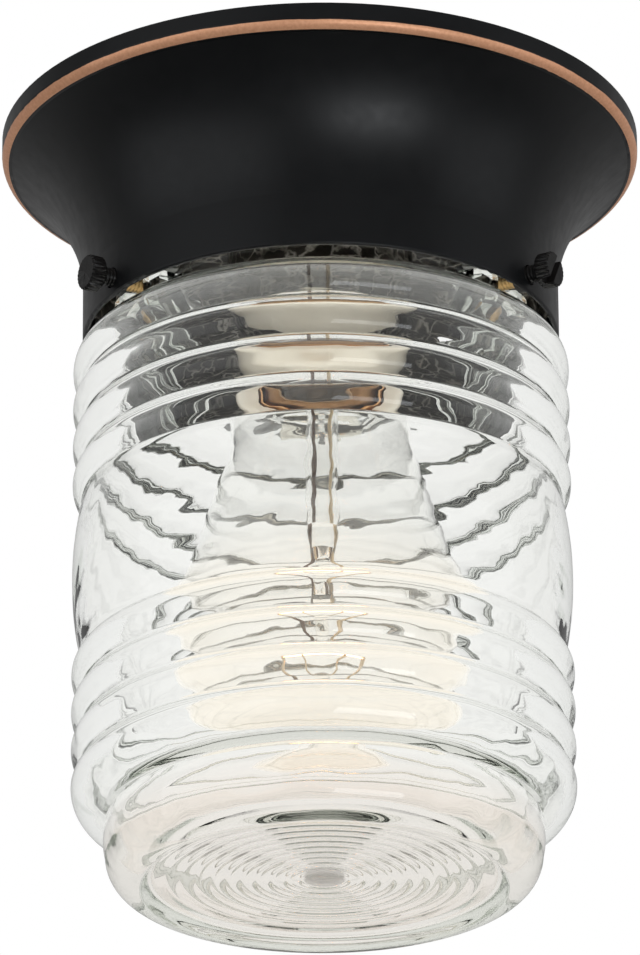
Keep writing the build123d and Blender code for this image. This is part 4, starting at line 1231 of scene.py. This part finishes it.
# %% A wire along its path
def wire_piece(name, paths, r):
    """Round wires along smooth paths of (x, y, depth) points, as one plain mesh."""
    curve = bpy.data.curves.new(name, "CURVE")
    curve.dimensions = "3D"
    curve.bevel_depth = r * MM
    curve.bevel_resolution = 3
    curve.use_fill_caps = True
    for path in paths:
        spline = curve.splines.new("NURBS")
        spline.points.add(len(path) - 1)
        for point, (x, y, depth) in zip(spline.points, path):
            point.co = (x * MM, y * MM, -depth * MM, 1)
        spline.order_u = 3
        spline.use_endpoint_u = True
    piece = bpy.data.objects.new(name, curve)
    bpy.context.scene.collection.objects.link(piece)
    bpy.context.view_layer.update()
    mesh = bpy.data.meshes.new_from_object(piece.evaluated_get(bpy.context.evaluated_depsgraph_get()))
    bpy.data.objects.remove(piece)
    mesh.shade_smooth()
    mesh.materials.append(wire)
    piece = bpy.data.objects.new(name, mesh)
    bpy.context.scene.collection.objects.link(piece)
    return piece


# %% Bend the wires
FILAMENT_DEPTH = PINCH + 21.0
FILAMENT_HALF = 9.0
FILAMENT_SAG = 2.6
LEAD_R = 0.42
SUPPORT_R = 0.22
SUPPORT_HALF = 4.0
LEAD_HOOK = (0, 0.7), (0.9, 0.6), (0.9, -0.5)
SUPPORT_LOOP = (0.8, 0), (0, 0.9), (-0.8, 0), (0, -0.9)


def lead_path(side):
    """A lead from the stem's top, through the pinch, to the hook round the filament's end."""
    root = side * (PINCH_R + ROD_R) / 2
    tip = side * FILAMENT_HALF
    inside = side * (STEM_R - STEM_WALL - 2 * LEAD_R)
    end = FILAMENT_DEPTH
    sealed = [(inside, 0, TUCK + 1), (inside, 0, PINCH - PINCH_H), (root, 0, PINCH - 1.5)]
    lean = [(root, 0, PINCH + 4), (tip * 0.6, 0, PINCH + 11), (tip, 0, end - 3)]
    return sealed + lean + [(tip, y, end + drop) for y, drop in LEAD_HOOK]


def filament_drop(x):
    """The depth of the hanging filament."""
    return FILAMENT_DEPTH + FILAMENT_SAG * (1 - (x / FILAMENT_HALF) ** 2)


def support_path(side):
    """A thin wire from the rod to a loop round the filament."""
    tip = side * SUPPORT_HALF
    end = filament_drop(tip)
    root = [(side * ROD_R, 0, ROD_END - 1), (side * (ROD_R + 0.6), 0, ROD_END), (tip, 0.2, end - 2.5)]
    return root + [(tip, y, end + drop) for y, drop in SUPPORT_LOOP]


leads = wire_piece("lamp_lead_wires", [lead_path(-1), lead_path(1)], LEAD_R)
seat(leads, "bulb", "bulb_lead_wires")
supports = wire_piece("lamp_support_wires", [support_path(-1), support_path(1)], SUPPORT_R)
seat(supports, "bulb", "bulb_support_wires")

# %% Coil the filament
COIL_R = 0.4
COIL_WIRE = 0.11
COIL_TURNS = 44
COIL_TURN_POINTS = 12
COIL_SIDES = 6
SPAN_POINTS = 24


def make_coil_tree():
    inputs = {"Turns": "Float", "Coil Radius": "Float", "Wire Radius": "Float", "Finish": "Material"}
    tree, given, result = new_tree("coil_along_path", inputs)
    path = node(tree, "GeometryNodeMeshToCurve", {"Mesh": given["Geometry"]}).outputs[0]
    count = calc(tree, "MULTIPLY", given["Turns"], COIL_TURN_POINTS)
    fine = node(tree, "GeometryNodeResampleCurve", {"Curve": path, "Count": count}).outputs[0]
    along = node(tree, "GeometryNodeSplineParameter").outputs["Factor"]
    turn = calc(tree, "MULTIPLY", calc(tree, "MULTIPLY", along, given["Turns"]), 2 * pi)
    aside = calc(tree, "MULTIPLY", calc(tree, "COSINE", turn), given["Coil Radius"])
    up = calc(tree, "MULTIPLY", calc(tree, "SINE", turn), given["Coil Radius"])
    swing = node(tree, "ShaderNodeCombineXYZ", {"Y": aside, "Z": up}).outputs[0]
    coil = node(tree, "GeometryNodeSetPosition", {"Geometry": fine, "Offset": swing}).outputs[0]
    round_wire = {"Resolution": COIL_SIDES, "Radius": given["Wire Radius"]}
    ring = node(tree, "GeometryNodeCurvePrimitiveCircle", round_wire)
    tube = {"Curve": coil, "Profile Curve": ring.outputs[0], "Fill Caps": True}
    swept = node(tree, "GeometryNodeCurveToMesh", tube).outputs[0]
    finish_tree(tree, swept, given["Finish"], result)
    return tree


coil_tree = make_coil_tree()
span = [FILAMENT_HALF * (2 * k / SPAN_POINTS - 1) for k in range(SPAN_POINTS + 1)]
filament = section_object("lamp_filament", [(x, filament_drop(x)) for x in span])
coil = {"Turns": COIL_TURNS, "Coil Radius": COIL_R * MM, "Wire Radius": COIL_WIRE * MM}
shape(filament, coil_tree, {"Finish": filament_glow, **coil})
settle(filament)
seat(filament, "bulb", "bulb_filament")

# %% [markdown]
# ## Finishes on the frame's own pieces
# The pieces whose CAD shape is already right keep it and only get their finish. They could be copied and
# bevelled, but their edges are small or hidden by the glass, and a CAD node keeps its exact fit.

# %% Paint the CAD nodes
node_finishes = [
    (dark_bronze, ["canopy"]),
    (scuffs_on_painted_shade, ["socket_plate", "socket_sleeve"]),
    # The black on the plate and the sleeve is painted shade for the unlit inside of the canopy.
    (zinc, ["mounting_strap", "mounting_screws", "socket_screws"]),
    (green_paint, ["ground_screw"]),
    (porcelain, ["socket_body"]),
    (brass, ["socket_contact", "contact_rivet", "shell_rivet"]),
    (brass, ["hot_terminal_clip", "neutral_terminal_clip", "hot_terminal_screw"]),
    (nickel, ["neutral_terminal_screw"]),
    (dark_insulator, ["bulb_insulator"]),
    (solder, ["bulb_contact"]),
]
for finish, names in node_finishes:
    for name in names:
        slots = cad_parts[name].data.materials
        slots.clear()
        slots.append(finish)
    print(finish.name, "on", ", ".join(names))

# %% [markdown]
# ## Stage, light and camera
# The light hangs in a bright, plain studio, so that its own shapes and finishes do the work.

# %% [markdown]
# ### Floor
# The floor is pale and lies well below. Mirrors and glass don't see it, because its edge would draw a hard
# line in them.

# %% Floor
FLOOR_Z = -2.2
FLOOR_HALF = 8.0
FLOOR_SPECKLE = 400
FLOOR_TONES = (0.8, 0.8, 0.79, 1), (0.83, 0.83, 0.82, 1)


def make_floor_finish():
    material, tree, sockets, spot = new_finish("pale_floor", Roughness=0.8)
    tree.links.new(blend(tree, speckle(tree, spot, FLOOR_SPECKLE), *FLOOR_TONES), sockets["Base Color"])
    return material


corners = [(x * FLOOR_HALF, y * FLOOR_HALF, FLOOR_Z) for x, y in ((-1, -1), (1, -1), (1, 1), (-1, 1))]
floor_mesh = bpy.data.meshes.new("studio_floor")
floor_mesh.from_pydata(corners, [], [(0, 1, 2, 3)])
floor_mesh.materials.append(make_floor_finish())
floor = bpy.data.objects.new("studio_floor", floor_mesh)
bpy.context.scene.collection.objects.link(floor)
floor.visible_glossy = False
floor.visible_transmission = False
print("floor at", FLOOR_Z, "m")

# %% [markdown]
# ### World
# The world is white where the camera looks at it, straight or through glass, and dim where shiny surfaces
# reflect it, so that black metal stays black and the edges of the glass draw themselves. What lies inside
# the jar gets its light through the glass, which area lamps hardly reach, so the world is brighter there.
# One flat background could not do all of this. The Light Path node tells the kinds of ray apart.

# %% World
FILL = 0.45
FILL_INSIDE = 1.3
FILL_FRONT = 3.2
MIRRORED_FRONT = 0.03
MIRRORED_BACK = 0.35
MIRRORED_TOP = 0.9
WALL_FROM, WALL_TO = 0.1, 0.8
FRONT_FROM, FRONT_TO = -0.3, -0.9
TOP_FROM, TOP_TO = 0.55, 0.95


def make_world():
    world = bpy.data.worlds.new("white_studio")
    world.use_nodes = True
    tree = world.node_tree
    path = node(tree, "ShaderNodeLightPath").outputs
    way = node(tree, "ShaderNodeTexCoord").outputs["Generated"]
    split = node(tree, "ShaderNodeSeparateXYZ", {0: way}).outputs
    wall = ramp(tree, split["Y"], WALL_FROM, WALL_TO, MIRRORED_FRONT, MIRRORED_BACK)
    inner = ramp(tree, split["Y"], FRONT_FROM, FRONT_TO, FILL_INSIDE - 1, FILL_FRONT - 1)
    sky = calc(tree, "MAXIMUM", wall, ramp(tree, split["Z"], TOP_FROM, TOP_TO, 0.0, MIRRORED_TOP))
    through = path["Is Transmission Ray"]
    outside = calc(tree, "SUBTRACT", 1, through)
    scattered = calc(tree, "MULTIPLY", through, calc(tree, "GREATER_THAN", path["Diffuse Depth"], 0.5))
    mirrored = calc(tree, "MULTIPLY", outside, path["Is Glossy Ray"])
    lit = calc(tree, "MULTIPLY", outside, path["Is Diffuse Ray"])
    strength = calc(tree, "ADD", 1, calc(tree, "MULTIPLY", scattered, inner))
    strength = calc(tree, "ADD", strength, calc(tree, "MULTIPLY", mirrored, calc(tree, "SUBTRACT", sky, 1)))
    strength = calc(tree, "ADD", strength, calc(tree, "MULTIPLY", lit, FILL - 1))
    tree.links.new(strength, tree.nodes["Background"].inputs["Strength"])
    tree.nodes["Background"].inputs["Color"].default_value = (1, 1, 1, 1)
    return world


bpy.context.scene.world = make_world()
print("world", bpy.context.scene.world.name)

# %% [markdown]
# ### Lamps
# Wide, soft lamps draw the long, faint reflections on the canopy. Three of them show in shiny surfaces, and
# two only give light. None is seen through glass, where a bright square would hide the edges.

# %% Lamps
LAMP_COLOUR = (0.94, 0.97, 1.0)
AT_CANOPY = (0, 0, -0.03)
AT_COLLAR = (0, 0, -0.06)


def softbox(name, place, target, wide, tall, power, mirrored):
    """An area lamp that looks at a point of the light, seen in shiny surfaces or not."""
    lamp = bpy.data.lights.new(name, "AREA")
    lamp.shape = "RECTANGLE"
    lamp.size = wide
    lamp.size_y = tall
    lamp.energy = power
    lamp.color = LAMP_COLOUR
    box = bpy.data.objects.new(name, lamp)
    box.location = place
    box.rotation_euler = (Vector(target) - Vector(place)).to_track_quat("-Z", "Y").to_euler()
    box.visible_transmission = False
    box.visible_glossy = mirrored
    bpy.context.scene.collection.objects.link(box)
    print(name, power, "W")


softbox("key_softbox", (0.5, -1.9, 0.5), AT_COLLAR, 0.9, 0.9, 30.0, False)
softbox("cove_softbox", (0.6, -1.38, -0.73), AT_CANOPY, 1.0, 0.5, 4.6, True)
softbox("left_softbox", (-1.3, -0.9, -0.05), AT_CANOPY, 2.2, 1.4, 5.0, True)
softbox("right_softbox", (1.4, -0.35, -0.05), AT_CANOPY, 1.0, 1.2, 1.7, True)
softbox("back_softbox", (0.9, 1.4, 0.7), AT_COLLAR, 0.8, 0.8, 14.0, False)

# %% [markdown]
# ### Camera
# The camera stands below the light and looks up at it, as in the photograph, with a long lens. Its place,
# roll and lens are fitted to the rim, the collar, the ribs and the base.

# %% Camera
VIEW_DISTANCE = 1.6876
VIEW_ELEVATION = radians(-23.217)
AIM = Vector((0, 0, -0.07979))
PICTURE_H = 955
FOCAL_PX = 7789
CENTRE_SHIFT_PX = 1.84
ROLL = radians(-0.38)

camera_data = bpy.data.cameras.new("view")
camera_data.lens = FOCAL_PX / PICTURE_H * camera_data.sensor_width
camera_data.shift_x = -CENTRE_SHIFT_PX / PICTURE_H
camera = bpy.data.objects.new("view", camera_data)
camera.location = AIM + VIEW_DISTANCE * Vector((0, -cos(VIEW_ELEVATION), sin(VIEW_ELEVATION)))
look = (AIM - camera.location).to_track_quat("-Z", "Y").to_matrix()
camera.rotation_euler = (look @ Matrix.Rotation(ROLL, 3, "Z")).to_euler()
bpy.context.scene.collection.objects.link(camera)
bpy.context.scene.camera = camera
bpy.context.scene.view_settings.view_transform = "Standard"
print("lens", round(camera_data.lens, 1), "mm")

# %% [markdown]
# ### Light paths
# Light goes in and out of the jar and the bulb, and back and forth between their walls, so a path has many
# turns. Short paths would leave black patches in the glass.

# %% Light paths
GLASS_DEPTH = 32
MIRROR_DEPTH = 12
bpy.context.scene.cycles.max_bounces = GLASS_DEPTH
bpy.context.scene.cycles.transmission_bounces = GLASS_DEPTH
bpy.context.scene.cycles.glossy_bounces = MIRROR_DEPTH
print("light paths", GLASS_DEPTH, "deep")
